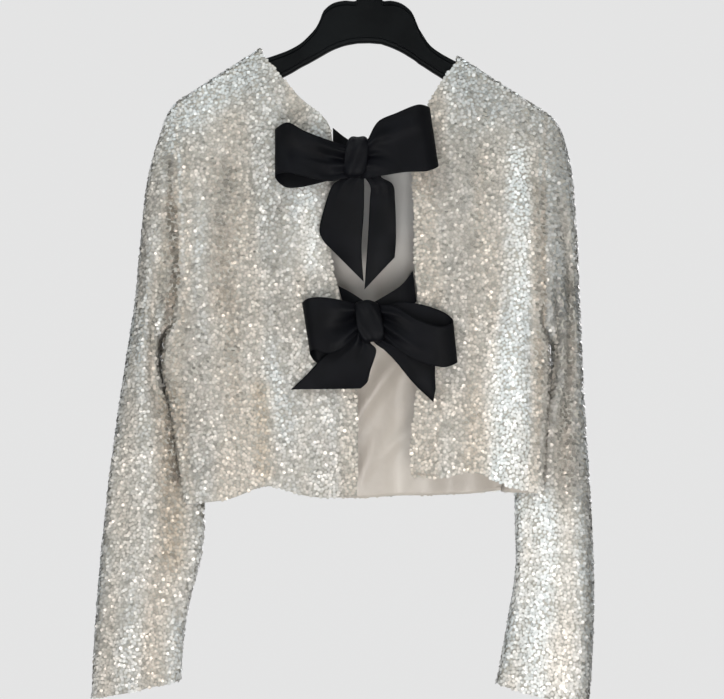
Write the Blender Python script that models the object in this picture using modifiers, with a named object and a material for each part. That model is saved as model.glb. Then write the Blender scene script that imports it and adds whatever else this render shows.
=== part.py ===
"""Cropped sequinned jacket with ribbon bows, hanging on a flat black hanger.

Units are metres, +Z is up, and the side with the bows faces -Y.
The origin is the inner crest of the hanger's hook, where the whole thing hangs.
Tables are in millimetres and are scaled by MM where the points are made.
"""
import math
from collections import namedtuple

import bmesh
import bpy
import numpy as np

# Driving dimensions, millimetres
MM = 0.001
CLOTH_WALL = 2.0            # sequinned cloth with its backing
LINING_WALL = 1.0
RIBBON_WALL = 1.2
SEAM_DRAW = 0.2             # each piece's sewn edge is drawn back this far
UNDERARM_Z = -412.0         # near here the armhole turns a sharp corner, and is drawn back
UNDERARM_REACH = 25.0       # this many times more
UNDERARM_EXTRA = 2.5
LAY_GAP = 0.4               # between the cloth and what lies on it
FOLD_RADIUS = 6.0           # of the side fold, whose turn starts this far inside it
ROUND_STEPS = 4
ROUND_ANGLE = 160
KNEE_DEPTH = 9.0            # the folded side turns in to its seam this far from it at most,
KNEE_SHARE = 0.45           # and in this share of the way
STAND_FADE = 22.0           # hanging folds fade out this near the side fold
FOLD_START = 1.5            # and grow from the shoulder to this section
LIFT_POWER = 6              # how much of a hem's swing is left further up
FRONT_COLUMNS = 10
ARM_STEPS = 12              # rows from shoulder to underarm
SIDE_STEPS = 8              # rows from underarm to hem
SLEEVE_STEPS = 18
NECK_ROW = 4                # row of the section tables where the neck edge turns down
UNDERARM_ROW = 8            # row of the section tables that meets the underarm
LAST_ROW = 12
CUFF_ROW = 13
FACING_COLUMNS = 2

# The cloth's roll over the hanger: distance out from the seam and drop below it
Crest = namedtuple("Crest", "out drop")
CREST = [Crest(0, 0), Crest(2.5, 0), Crest(5.2, 0.8), Crest(7.2, 2.8), Crest(8, 6)]

# Free edge of a panel, a row for each section, neck to hem: half depth is the distance from
# the middle plane
Edge = namedtuple("Edge", "x half_depth z")
LEFT_FRONT_EDGE = [
    Edge(-112.3, 8, -109.3), Edge(-97, 11, -133), Edge(-71, 14, -163), Edge(-40.8, 17, -193),
    Edge(-40, 20, -245), Edge(-40, 22, -295), Edge(-38, 24, -335), Edge(-30, 25, -368),
    Edge(-20, 26, -405), Edge(-14, 27, -445), Edge(-12, 28, -487), Edge(-12, 29, -530),
    Edge(-13, 29, -573)]
RIGHT_FRONT_EDGE = [
    Edge(91.2, 8, -117.4), Edge(79, 11, -139), Edge(64, 14, -163), Edge(52, 17, -193),
    Edge(44, 20, -240), Edge(46, 22, -290), Edge(46, 24, -332), Edge(50, 25, -370),
    Edge(52, 26, -412), Edge(50, 27, -452), Edge(45, 28, -492), Edge(42, 28, -527),
    Edge(43, 28, -553)]
# The back is two halves that share the middle line below the scooped neck
BACK_MIDDLE = [
    Edge(-8, 20, -232), Edge(-8, 23, -285), Edge(-8, 25, -332), Edge(-8, 27, -372),
    Edge(-8, 28, -412), Edge(-8, 29, -452), Edge(-8, 30, -494), Edge(-8, 30, -538),
    Edge(-8, 30, -580)]
LEFT_BACK_EDGE = [
    Edge(-112.3, 8, -109.3), Edge(-103, 11, -136), Edge(-84, 14, -175), Edge(-52, 17, -212)
] + BACK_MIDDLE
RIGHT_BACK_EDGE = [
    Edge(91.2, 8, -117.4), Edge(83, 11, -143), Edge(66, 14, -178), Edge(36, 17, -212)
] + BACK_MIDDLE

# Side of the body, a row for each section: the outer fold, and the armhole or side seam
Side = namedtuple("Side", "fold_x fold_depth fold_z seam_x seam_depth seam_z")
LEFT_SIDE = [
    Side(-199.3, 8, -165, -199.3, 8, -165), Side(-201, 13, -200, -201, 13, -200),
    Side(-202, 18, -232, -202, 18, -232), Side(-200, 22, -268, -200, 22, -268),
    Side(-198, 26, -302, -198, 26, -302), Side(-198, 28, -338, -198, 28, -338),
    Side(-201, 29, -368, -201, 27, -368), Side(-204, 29, -395, -204, 18, -396),
    Side(-211, 29, -414, -205, 0, -411), Side(-212, 30, -446, -189, 0, -440),
    Side(-205, 31, -488, -176, 0, -484), Side(-198, 32, -534, -167, 0, -532),
    Side(-191, 32, -580, -161, 0, -579)]
RIGHT_SIDE = [
    Side(185.3, 8, -178.1, 185.3, 8, -178.1), Side(183, 13, -212, 183, 13, -212),
    Side(182, 18, -243, 182, 18, -243), Side(182, 22, -276, 182, 22, -276),
    Side(181, 26, -308, 181, 26, -308), Side(181, 28, -341, 181, 28, -341),
    Side(181, 29, -371, 181, 27, -371), Side(180, 29, -397, 180, 18, -398),
    Side(184, 29, -416, 178, 0, -413), Side(185, 30, -450, 164, 0, -446),
    Side(183, 31, -492, 154, 0, -490), Side(181, 32, -534, 145, 0, -532),
    Side(179, 32, -570, 139, 0, -571)]

# Hanging folds that stand out from a panel, growing from chest to hem
Fold = namedtuple("Fold", "top_x hem_x half_width top_height hem_height")
FOLD_TOP_Z = -170
FOLD_HEM_Z = -575
LEFT_FRONT_FOLDS = [Fold(-178, -176, 15, 2, 6), Fold(-103, -88, 18, 5, 4),
                    Fold(-54, -46, 15, 3, 6)]
RIGHT_FRONT_FOLDS = [Fold(95, 84, 15, 5, 4), Fold(156, 144, 16, 3, 8)]
BACK_FOLDS = [Fold(-165, -158, 16, 2, 7), Fold(-112, -104, 18, 4, 3), Fold(-52, -48, 16, 2, 6),
              Fold(36, 32, 18, 2, 6), Fold(92, 84, 16, 3, 5), Fold(148, 136, 16, 3, 7)]

# Where the hem swings up between the folds
Lift = namedtuple("Lift", "x half_width height")
LEFT_FRONT_LIFT = [Lift(-104, 30, 14)]
RIGHT_FRONT_LIFT = [Lift(108, 28, 12)]
BACK_LIFT = [Lift(-104, 30, 17), Lift(92, 44, -2)]

# Sleeve rings from armhole to cuff: outer and inner point of each flattened oval
Ring = namedtuple("Ring", "outer_x outer_z inner_x inner_z half_depth")
LEFT_RINGS = [
    Ring(-199.3, -165, -205, -411, 26), Ring(-208.4, -177.1, -211.4, -412.4, 26),
    Ring(-217.5, -201.3, -215.5, -414.9, 25), Ring(-229.7, -245.9, -217.5, -420, 24),
    Ring(-236.7, -308.6, -218, -432.1, 23), Ring(-242.8, -371.4, -217, -446.3, 22),
    Ring(-251.9, -430.1, -211.4, -467.5, 21), Ring(-260, -482.7, -194.2, -495.9, 20),
    Ring(-268.1, -541.4, -180.1, -535.3, 20), Ring(-274.2, -592, -173, -581.9, 20),
    Ring(-279.3, -642.6, -175, -632.5, 20), Ring(-283.3, -691.2, -187.2, -681.1, 20),
    Ring(-286.3, -737.8, -194.2, -723.6, 19), Ring(-288.4, -785.3, -197.3, -767.1, 18)]
RIGHT_RINGS = [
    Ring(185.3, -178.1, 178, -413, 26), Ring(193.4, -186.2, 184.3, -414.9, 25),
    Ring(200.5, -200.3, 188.3, -417.9, 24), Ring(209.6, -237.8, 190.4, -422, 23),
    Ring(214.7, -298.5, 190.9, -433.1, 22), Ring(217.7, -365.3, 189.4, -447.3, 20),
    Ring(220.7, -430.1, 184.3, -467.5, 19), Ring(223.8, -490.8, 167.1, -500.9, 18),
    Ring(227.8, -551.5, 153.9, -551.5, 19), Ring(230.9, -602.1, 152.9, -600.1, 22),
    Ring(232.9, -652.8, 153.9, -648.7, 24), Ring(232.9, -703.4, 146.8, -695.3, 24),
    Ring(230.9, -748.9, 139.8, -735.7, 23), Ring(227.8, -793.4, 132.7, -770.2, 22)]
RING_SETTLE = 4.0           # ring number by which the armhole has become an oval
RING_SPREAD = 1.15          # rings stand closer near the armhole
RING_FULLNESS = 0.85        # below 1 the oval has fuller sides

# Creases down a sleeve: place round the half ring (0 outer, 1 inner) and depth
Crease = namedtuple("Crease", "place half_width depth")
LEFT_CREASES = [Crease(0.63, 0.10, 6.0), Crease(0.28, 0.10, 2.5)]
RIGHT_CREASES = [Crease(0.42, 0.10, 5.0), Crease(0.75, 0.09, 3.0)]

# Hanger outline, tip to tip
Arm = namedtuple("Arm", "x top bottom")
HANGER_PROFILE = [
    Arm(-193.2, -166.9, -175), Arm(-190.2, -163.9, -181.1), Arm(-161.8, -144.2, -169),
    Arm(-136.5, -128.1, -156.8), Arm(-111.2, -120.9, -148.7), Arm(-93, -114.8, -140.6),
    Arm(-80.9, -109.8, -134.5), Arm(-70.8, -103.7, -128.5), Arm(-62.7, -96.1, -124.4),
    Arm(-55.6, -88, -120.4), Arm(-51, -78.9, -117.8), Arm(-47.5, -70.3, -115.8),
    Arm(-38.4, -62.7, -110.8), Arm(-26.2, -59.7, -106.2), Arm(-13.6, -59.7, -103.7),
    Arm(-12.5, -50.5, -103.5), Arm(0.1, -49.5, -103.2), Arm(12.6, -50.5, -104.2),
    Arm(13.8, -59.7, -104.7), Arm(22.4, -59.7, -107.7), Arm(33.5, -62.7, -112.8),
    Arm(43.6, -70.8, -118.9), Arm(48.2, -79.9, -121.9), Arm(51.7, -88.5, -124.9),
    Arm(56.8, -97.1, -128), Arm(62.8, -105.7, -132), Arm(70.9, -112.3, -137.1),
    Arm(84.1, -120, -144.7), Arm(111.4, -133.9, -156.8), Arm(136.7, -149.9, -166.9),
    Arm(162, -166.2, -181.1), Arm(176.2, -175.6, -190.2), Arm(179.2, -179.1, -186.2)]
HANGER_HALF_THICK = 5.5
HANGER_CORNER = 3.2
HOOK_WIRE = 4.0
HOOK_INNER_RADIUS = 20.0
COLLAR_TOP = -49.5

# Ribbons, a row across the ribbon at each station: one edge, then the other
Station = namedtuple("Station", "x1 z1 y1 x2 z2 y2")
RIBBON_COLUMNS = 3
LOOP_STEPS = 14
TAIL_STEPS = 8
TIE_STEPS = 5
TAIL_CROWN = 1.5            # how far a tail is domed across
TOP_KNOT = (-13.4, -46.0, -227.6)
LOW_KNOT = (-0.1, -50.0, -394.4)
TOP_KNOT_SIZE = (23.6, 21, 40.2)
LOW_KNOT_SIZE = (26.5, 21, 41.2)
# Each loop goes out along its front, round its end and back behind
LOOPS = {
    "top_bow_left_loop":
         [Station(-25.7, -215.8, -50, -25.7, -250.2, -50), Station(-41.3, -211.6, -55, -42.2, -253, -55),
          Station(-64.6, -203.3, -59, -68.5, -248, -59), Station(-82.3, -194.2, -57, -83.3, -244.5, -57),
          Station(-95.6, -199.5, -46, -95.6, -247.2, -46), Station(-84.8, -193.2, -36, -86.2, -257, -36),
          Station(-65.5, -202, -35, -69.4, -257, -35), Station(-41.6, -211.3, -38, -42.6, -251, -38),
          Station(-25.8, -216.8, -42.4, -25.8, -245.4, -42.4)],
    "top_bow_right_loop":
         [Station(-0.9, -209, -50, -0.9, -249.2, -50), Station(8.7, -192.8, -54, 17.5, -246.7, -54),
          Station(27.2, -184.6, -58, 36.9, -244.2, -58), Station(48.7, -176.2, -57, 58.5, -243.1, -57),
          Station(60.9, -177.9, -46, 69.8, -237, -46), Station(49.5, -175.3, -35, 57.4, -237.7, -35),
          Station(29.7, -183.1, -34, 36.6, -239.6, -34), Station(11.8, -192.5, -38, 17.7, -241, -38),
          Station(-0.9, -210.9, -42.4, -0.9, -244.5, -42.4)],
    "low_bow_left_loop":
         [Station(-14.4, -376.9, -52, -14.4, -409.3, -52), Station(-27.5, -373.2, -58, -26.6, -421, -58),
          Station(-46, -370.4, -62, -41, -427, -62), Station(-61.5, -371.3, -60, -54.5, -423, -60),
          Station(-67.8, -376, -52, -60, -426.5, -52), Station(-61.8, -373, -43, -53, -436.5, -43),
          Station(-46.5, -371.7, -42, -40.6, -432, -42), Station(-27.7, -374.7, -43, -26.7, -412.2, -43),
          Station(-14.4, -379.7, -45, -14.4, -404.3, -45)],
    "low_bow_right_loop":
         [Station(14.1, -377.9, -52, 14.1, -409.3, -52), Station(27.2, -380, -58, 30.1, -423, -58),
          Station(48.5, -392.8, -62, 50.5, -434.7, -62), Station(71, -399.6, -61, 74, -440.6, -60),
          Station(84.2, -394.6, -52, 88.6, -435.7, -52), Station(74.8, -384.5, -43, 74.8, -436.8, -43),
          Station(51.2, -376.6, -41, 49.2, -429.9, -42), Station(28.5, -374.7, -43, 30.5, -413.1, -43),
          Station(14.2, -379.7, -45, 14.2, -404.3, -45)]}
TAILS = {
    "top_bow_left_tail": [
        Station(-24, -248.2, -46, -13.6, -248.2, -46), Station(-37, -255.7, -46, -5.4, -258.6, -46),
        Station(-45.5, -277.1, -43, -5.8, -284, -43), Station(-51, -301.5, -40, -8, -319.4, -42),
        Station(-45.5, -314.3, -40, -6, -353.9, -42)],
    "top_bow_right_tail": [
        Station(-12.4, -248.2, -46, 0, -248.2, -46), Station(0.9, -257.9, -48.5, 23.5, -255.9, -48.5),
        Station(0.5, -270.2, -43, 25.9, -271.1, -43), Station(-1.1, -301.5, -40, 27, -307.6, -42),
        Station(-5, -361.7, -40, 25.6, -329.3, -42)],
    "low_bow_left_tail": [
        Station(-16, -413, -48.6, 0.8, -416, -48.6), Station(-30, -419.5, -49, 6.8, -424, -50),
        Station(-47.3, -430.9, -47, 0.9, -443.6, -48), Station(-64.1, -448.6, -45, -2.1, -455.5, -47),
        Station(-79.9, -463.4, -44, -9, -462.4, -46)],
    "low_bow_right_tail": [
        Station(4.4, -415.4, -48.6, 15.5, -411, -48.6), Station(15.6, -424, -50, 47, -419.5, -49),
        Station(26.4, -434.8, -47, 64.8, -431.8, -48), Station(45.2, -457.5, -45, 66.3, -448.6, -46),
        Station(64.9, -476.2, -44, 66.9, -462.4, -45)]}
TIES = {
    "top_bow_left_tie": [
        Station(-37.5, -194.2, -17, -37.4, -231.9, -19), Station(-26.9, -204.2, -29, -26.9, -232, -29),
        Station(-14.9, -212.8, -34.4, -14.9, -232.7, -34.4)],
    "top_bow_right_tie": [
        Station(47.1, -209.7, -18, 43, -235.9, -19), Station(17.9, -208.9, -27, 17.9, -233.8, -27),
        Station(-11, -212.8, -34.4, -11, -232.7, -34.4)],
    "low_bow_left_tie": [
        Station(-31.9, -357.2, -24, -24, -388.1, -25), Station(-15.9, -366.4, -33, -13.9, -391.3, -33),
        Station(-1.3, -376.5, -38.4, -1.3, -395.3, -38.4)],
    "low_bow_right_tie": [
        Station(44.4, -342.2, -24, 48.3, -373.2, -25), Station(30.7, -358.5, -32, 36.7, -382.3, -32),
        Station(1.1, -376.5, -38.4, 1.1, -396.3, -38.4)]}


def new_material(name, colour, roughness, metallic=0.0):
    """A plain Principled material."""
    material = bpy.data.materials.new(name)
    material.use_nodes = True
    shader = material.node_tree.nodes["Principled BSDF"]
    shader.inputs["Base Color"].default_value = (*colour, 1.0)
    shader.inputs["Roughness"].default_value = roughness
    shader.inputs["Metallic"].default_value = metallic
    return material


def smooth(value):
    """Ease from 0 to 1."""
    value = min(max(value, 0.0), 1.0)
    return value * value * (3 - 2 * value)


def mix(start, end, share):
    """Value part of the way from start to end."""
    return start + (end - start) * share


def along(rows, place, corner=None):
    """A table's columns at a row number, on a smooth curve through its rows.

    The curve breaks at the corner row, where there is one.
    """
    table = np.asarray(rows, float)
    if corner is not None and place >= corner:
        table, place = table[corner:], place - corner
    elif corner is not None:
        table = table[:corner + 1]
    last = len(table) - 1
    index = min(int(place), last - 1)
    f = place - index
    a, b = table[max(index - 1, 0)], table[index]
    c, d = table[index + 1], table[min(index + 2, last)]
    return 0.5 * (2 * b + (c - a) * f + (2 * a - 5 * b + 4 * c - d) * f ** 2
                  + (3 * b - a - 3 * c + d) * f ** 3)


def turn_points(start, end, outward):
    """Round the side fold and in to the seam, as (x, depth) points."""
    points = []
    for step in range(ROUND_STEPS + 1):
        angle = math.radians(ROUND_ANGLE * step / ROUND_STEPS)
        points.append(start + FOLD_RADIUS * np.array((outward * math.sin(angle),
                                                      math.cos(angle) - 1)))
    last = points[-1]
    knee = np.array((end[0], end[1] + min(KNEE_DEPTH, KNEE_SHARE * max(last[1] - end[1], 0.0))))
    return points + [mix(last, knee, 0.55), mix(mix(last, knee, 0.95), end, 0.25), end]


def fold_height(folds, x, z):
    """How far the hanging folds stand out at a place on a panel."""
    down = smooth((FOLD_TOP_Z - z) / (FOLD_TOP_Z - FOLD_HEM_Z))
    height = 0.0
    for fold in folds:
        middle = mix(fold.top_x, fold.hem_x, down)
        rise = mix(fold.top_height, fold.hem_height, down)
        height += rise * math.exp(-((x - middle) / fold.half_width) ** 2)
    return height


def panel_section(edge_rows, side_rows, folds, lifts, place):
    """Points across a panel at a section: (x, depth, z), free edge to seam."""
    edge_x, edge_depth, edge_z = along(edge_rows, place, NECK_ROW)
    fold_x, fold_depth, fold_z, seam_x, seam_depth, seam_z = along(side_rows, place)
    if place >= UNDERARM_ROW:
        seam_depth = 0.0
    outward = math.copysign(1.0, side_rows[0].fold_x)
    start_x = fold_x - outward * FOLD_RADIUS
    start_z = mix(edge_z, fold_z, (start_x - edge_x) / (fold_x - edge_x))
    fade_in = smooth(place / FOLD_START)
    points = []
    for column in range(FRONT_COLUMNS):
        share = column / FRONT_COLUMNS
        x = mix(edge_x, start_x, share)
        z = mix(edge_z, start_z, share)
        stand = fold_height(folds, x, z) * fade_in * smooth(abs(x - start_x) / STAND_FADE)
        swing = sum(lift.height * math.exp(-((x - lift.x) / lift.half_width) ** 2)
                    for lift in lifts)
        z += swing * (place / LAST_ROW) ** LIFT_POWER
        points.append((x, mix(edge_depth, fold_depth, smooth(share)) + stand, z))
    turned = smooth((fold_depth - max(seam_depth, 0.0)) / fold_depth)
    start = np.array((start_x, fold_depth))
    end = np.array((seam_x, max(seam_depth, 0.0)))
    bent = turn_points(start, end, outward)
    for column, place_bent in enumerate(bent):
        share = column / (len(bent) - 1)
        x, depth = mix(mix(start, end, share), place_bent, turned)
        points.append((x, depth, mix(start_z, seam_z, share)))
    return np.array(points)


def panel_places():
    """Section numbers of a panel's rows below the crest."""
    upper = [UNDERARM_ROW * step / ARM_STEPS for step in range(ARM_STEPS + 1)]
    lower = [UNDERARM_ROW + (LAST_ROW - UNDERARM_ROW) * step / SIDE_STEPS
             for step in range(1, SIDE_STEPS + 1)]
    return upper + lower


def panel_grid(edge_rows, side_rows, folds, lifts, facing):
    """Outer surface of a panel, shoulder to hem. facing is -1 for the near side, 1 for the far."""
    drop = CREST[-1].drop
    edges = [row._replace(z=row.z - drop * (1 if index == 0 else 0))
             for index, row in enumerate(edge_rows)]
    sides = [row._replace(fold_z=row.fold_z - drop, seam_z=row.seam_z - drop) if index == 0 else row
             for index, row in enumerate(side_rows)]
    sections = [panel_section(edges, sides, folds, lifts, place) for place in panel_places()]
    crest = []
    for step in CREST[:-1]:
        row = sections[0].copy()
        row[:, 1] = step.out
        row[:, 2] += drop - step.drop
        crest.append(row)
    grid = np.array(crest + sections)
    grid[:, :, 1] *= facing
    return grid


def sleeve_grid(near, far, rings, creases):
    """Outer surface of a sleeve: rings that start as the armhole the panels leave open."""
    last = len(CREST) - 1 + ARM_STEPS
    first = np.concatenate([near[:last + 1, -1], far[last - 1:0:-1, -1]])
    half = near[:last + 1, -1]
    run = np.concatenate([[0], np.cumsum(np.linalg.norm(np.diff(half, axis=0), axis=1))])
    turn = [math.pi * mix(run[i] / run[-1], i / last, 0.5) for i in range(last + 1)]
    angles = turn + [2 * math.pi - angle for angle in turn[last - 1:0:-1]]
    outer = first[0, [0, 2]]
    axis = first[last, [0, 2]] - outer
    length = np.linalg.norm(axis)
    across = np.array((-axis[1], axis[0])) / length
    grid = []
    for step in range(SLEEVE_STEPS + 1):
        place = CUFF_ROW * (step / SLEEVE_STEPS) ** RING_SPREAD
        ring_outer_x, ring_outer_z, ring_inner_x, ring_inner_z, half_depth = along(rings, place)
        ring_outer = np.array((ring_outer_x, ring_outer_z))
        ring_axis = np.array((ring_inner_x, ring_inner_z)) - ring_outer
        ring_across = np.array((-ring_axis[1], ring_axis[0])) / np.linalg.norm(ring_axis)
        settled = smooth(place / RING_SETTLE)
        row = []
        for point, angle in zip(first, angles):
            offset = point[[0, 2]] - outer
            share = mix(offset @ axis / length ** 2, (1 - math.cos(angle)) / 2, settled)
            bow = (offset @ across) * (1 - settled)
            flat = ring_outer + ring_axis * share + ring_across * bow
            round_depth = -half_depth * math.copysign(abs(math.sin(angle)) ** RING_FULLNESS,
                                                      math.sin(angle))
            depth = mix(point[1], round_depth, settled)
            around = 1 - abs(1 - angle / math.pi)
            for crease in creases:
                dent = crease.depth * math.exp(-((around - crease.place) / crease.half_width) ** 2)
                depth -= math.copysign(dent * settled, depth) if abs(depth) > 1 else 0.0
            row.append((flat[0], depth, flat[1]))
        grid.append(row)
    grid = np.array(grid)
    return np.concatenate([grid, grid[:, :1]], axis=1)


def grid_faces(grids):
    """Weld grids into vertices and triangles, all cut along the same diagonal.

    Each grid comes with whether its faces are flipped.
    """
    places, points, faces = {}, [], []

    def index_of(point):
        key = tuple(np.round(point, 4))
        if key not in places:
            places[key] = len(points)
            points.append(point)
        return places[key]

    for grid, flipped in grids:
        rows, columns = grid.shape[:2]
        index = [[index_of(grid[r, c]) for c in range(columns)] for r in range(rows)]
        for r in range(rows - 1):
            for c in range(columns - 1):
                a, b = index[r][c], index[r][c + 1]
                d, e = index[r + 1][c], index[r + 1][c + 1]
                faces += [[e, b, a], [d, e, a]] if flipped else [[a, b, e], [a, e, d]]
    return np.array(points), faces


def vertex_normals(points, faces):
    """Outward normals at welded points."""
    normals = np.zeros_like(points)
    for face in faces:
        corners = points[face]
        normal = np.cross(corners[1] - corners[0], corners[2] - corners[0])
        for index in face:
            normals[index] += normal
    return normals / np.linalg.norm(normals, axis=1, keepdims=True)


def open_edges(faces):
    """Point pairs along the open edges of a triangle mesh."""
    directed = {(face[i], face[(i + 1) % 3]) for face in faces for i in range(3)}
    return [(a, b) for a, b in directed if (b, a) not in directed]


def drawn_back(points, facing, armholes):
    """Draw a piece's sewn edges back, so that its seams stay open.

    The armholes are planes across X, and the shoulder and side seams lie in the middle plane.
    facing is -1 or 1 for a panel and 0 for a sleeve.
    """
    moved = points.copy()
    for index, point in enumerate(points):
        if tuple(np.round(point, 4)) in armholes:
            away = 1 if facing == 0 else -1
            crotch = smooth(1 - abs(point[2] - UNDERARM_Z) / UNDERARM_REACH)
            draw = SEAM_DRAW * (1 + UNDERARM_EXTRA * crotch)
            moved[index, 0] += away * math.copysign(draw, point[0])
        if facing and abs(point[1]) < SEAM_DRAW:
            moved[index, 1] += facing * SEAM_DRAW
    return moved


def add_object(name, vertices, faces, material, collection):
    """A smooth-shaded mesh object from points in millimetres."""
    mesh = bpy.data.meshes.new(name)
    mesh.from_pydata([tuple(point) for point in np.asarray(vertices) * MM], [], faces)
    mesh.materials.append(material)
    mesh.shade_smooth()
    mesh.set_sharp_from_angle(angle=math.radians(50))
    thing = bpy.data.objects.new(name, mesh)
    collection.objects.link(thing)
    return thing


def walled_piece(name, grids, facing, armholes, shell_normals, material, collection):
    """A cloth piece of the jacket: its outer points, and its inner ones a wall away.

    The wall runs along the normals of the whole sewn shell, so two pieces meet in a mitre.
    """
    points, faces = grid_faces(grids)
    normals = np.array([shell_normals[tuple(np.round(point, 4))] for point in points])
    outer = drawn_back(points, facing, armholes)
    inner = outer - normals * CLOTH_WALL
    count = len(outer)
    solid = [list(face) for face in faces]
    solid += [[index + count for index in reversed(face)] for face in faces]
    solid += [[b, a, a + count, b + count] for a, b in open_edges(faces)]
    return add_object(name, np.concatenate([outer, inner]), solid, material, collection)


def inner_sheet(name, grids, shell_normals, depth, material, collection):
    """A thin sheet that lies against the inside of a panel."""
    points, faces = grid_faces(grids)
    normals = np.array([shell_normals[tuple(np.round(point, 4))] for point in points])
    sheet = add_object(name, points - normals * depth, faces, material, collection)
    shell = sheet.modifiers.new("Thickness", "SOLIDIFY")
    shell.thickness = LINING_WALL * MM
    shell.offset = -1.0
    return sheet


def ribbon_grid(stations, steps, crown):
    """Points of a ribbon that runs through its stations, a little domed across."""
    grid = []
    for step in range(steps + 1):
        x1, z1, y1, x2, z2, y2 = along(stations, (len(stations) - 1) * step / steps)
        row = []
        for column in range(RIBBON_COLUMNS + 1):
            share = column / RIBBON_COLUMNS
            dome = crown * 4 * share * (1 - share)
            row.append((mix(x1, x2, share), mix(y1, y2, share) - dome, mix(z1, z2, share)))
        grid.append(row)
    return np.array(grid)


def add_ribbon(name, stations, steps, material, collection, crown=0.0):
    """A ribbon piece with its own thickness."""
    points, faces = grid_faces([(ribbon_grid(stations, steps, crown), False)])
    ribbon = add_object(name, points, faces, material, collection)
    shell = ribbon.modifiers.new("Thickness", "SOLIDIFY")
    shell.thickness = RIBBON_WALL * MM
    shell.offset = 0.0
    return ribbon


def add_knot(name, place, size, material, collection):
    """The wrapped middle of a bow, a soft block."""
    bpy.ops.mesh.primitive_cube_add(size=1.0)
    knot = bpy.context.object
    knot.name = knot.data.name = name
    for vertex in knot.data.vertices:
        for axis in range(3):
            vertex.co[axis] *= size[axis] * MM
    bm = bmesh.new()
    bm.from_mesh(knot.data)
    bmesh.ops.subdivide_edges(bm, edges=bm.edges[:], cuts=1, use_grid_fill=True)
    bm.to_mesh(knot.data)
    bm.free()
    knot.location = [value * MM for value in place]
    knot.data.materials.append(material)
    soft = knot.modifiers.new("Soft", "SUBSURF")
    soft.levels = soft.render_levels = 1
    knot.data.shade_smooth()
    for other in list(knot.users_collection):
        other.objects.unlink(knot)
    collection.objects.link(knot)
    return knot


def add_bows(material, collection):
    """Both bows: knots, loops, tails, and ties from the panels' edges."""
    add_knot("top_bow_knot", TOP_KNOT, TOP_KNOT_SIZE, material, collection)
    add_knot("low_bow_knot", LOW_KNOT, LOW_KNOT_SIZE, material, collection)
    for name, stations in LOOPS.items():
        add_ribbon(name, stations, LOOP_STEPS, material, collection)
    for name, stations in TAILS.items():
        add_ribbon(name, stations, TAIL_STEPS, material, collection, TAIL_CROWN)
    for name, stations in TIES.items():
        add_ribbon(name, stations, TIE_STEPS, material, collection)


def add_hanger(plastic, metal, collection):
    """The flat hanger and its wire hook, whose inner crest is the origin."""
    sections = []
    flat = HANGER_HALF_THICK - HANGER_CORNER
    for x, top, bottom in HANGER_PROFILE:
        corner = min(HANGER_CORNER, (top - bottom) / 2.5)
        ring = []
        for quarter, (side, level) in enumerate([(1, top), (-1, top), (-1, bottom), (1, bottom)]):
            height = level - corner if level == top else level + corner
            for step in range(3):
                angle = math.radians(90 * quarter + 45 * step)
                ring.append((x, side * flat + HANGER_CORNER * math.cos(angle),
                             height + corner * math.sin(angle)))
        sections.append(ring)
    count = len(sections[0])
    points = [point for ring in sections for point in ring]
    faces = []
    for s in range(len(sections) - 1):
        for i in range(count):
            j = (i + 1) % count
            faces.append([s * count + i, s * count + j, (s + 1) * count + j, (s + 1) * count + i])
    faces.append(list(range(count))[::-1])
    faces.append([(len(sections) - 1) * count + i for i in range(count)])
    add_object("hanger_body", points, faces, plastic, collection)

    radius = HOOK_INNER_RADIUS + HOOK_WIRE / 2
    centre_z = -HOOK_INNER_RADIUS
    turns = 22
    path = []
    for step in range(turns + 1):
        angle = math.radians(mix(205, -62, step / turns))
        path.append((radius * math.cos(angle), centre_z + radius * math.sin(angle)))
    path += [(5.0, -42.2), (1.2, -44.4), (0.0, -47.0), (0.0, COLLAR_TOP + 0.3)]
    curve = bpy.data.curves.new("hanger_hook", "CURVE")
    curve.dimensions = "3D"
    curve.bevel_depth = HOOK_WIRE / 2 * MM
    curve.bevel_resolution = 2
    curve.use_fill_caps = True
    spline = curve.splines.new("POLY")
    spline.points.add(len(path) - 1)
    for point, (x, z) in zip(spline.points, path):
        point.co = (x * MM, 0.0, z * MM, 1.0)
    curve.materials.append(metal)
    hook = bpy.data.objects.new("hanger_hook", curve)
    collection.objects.link(hook)


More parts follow.
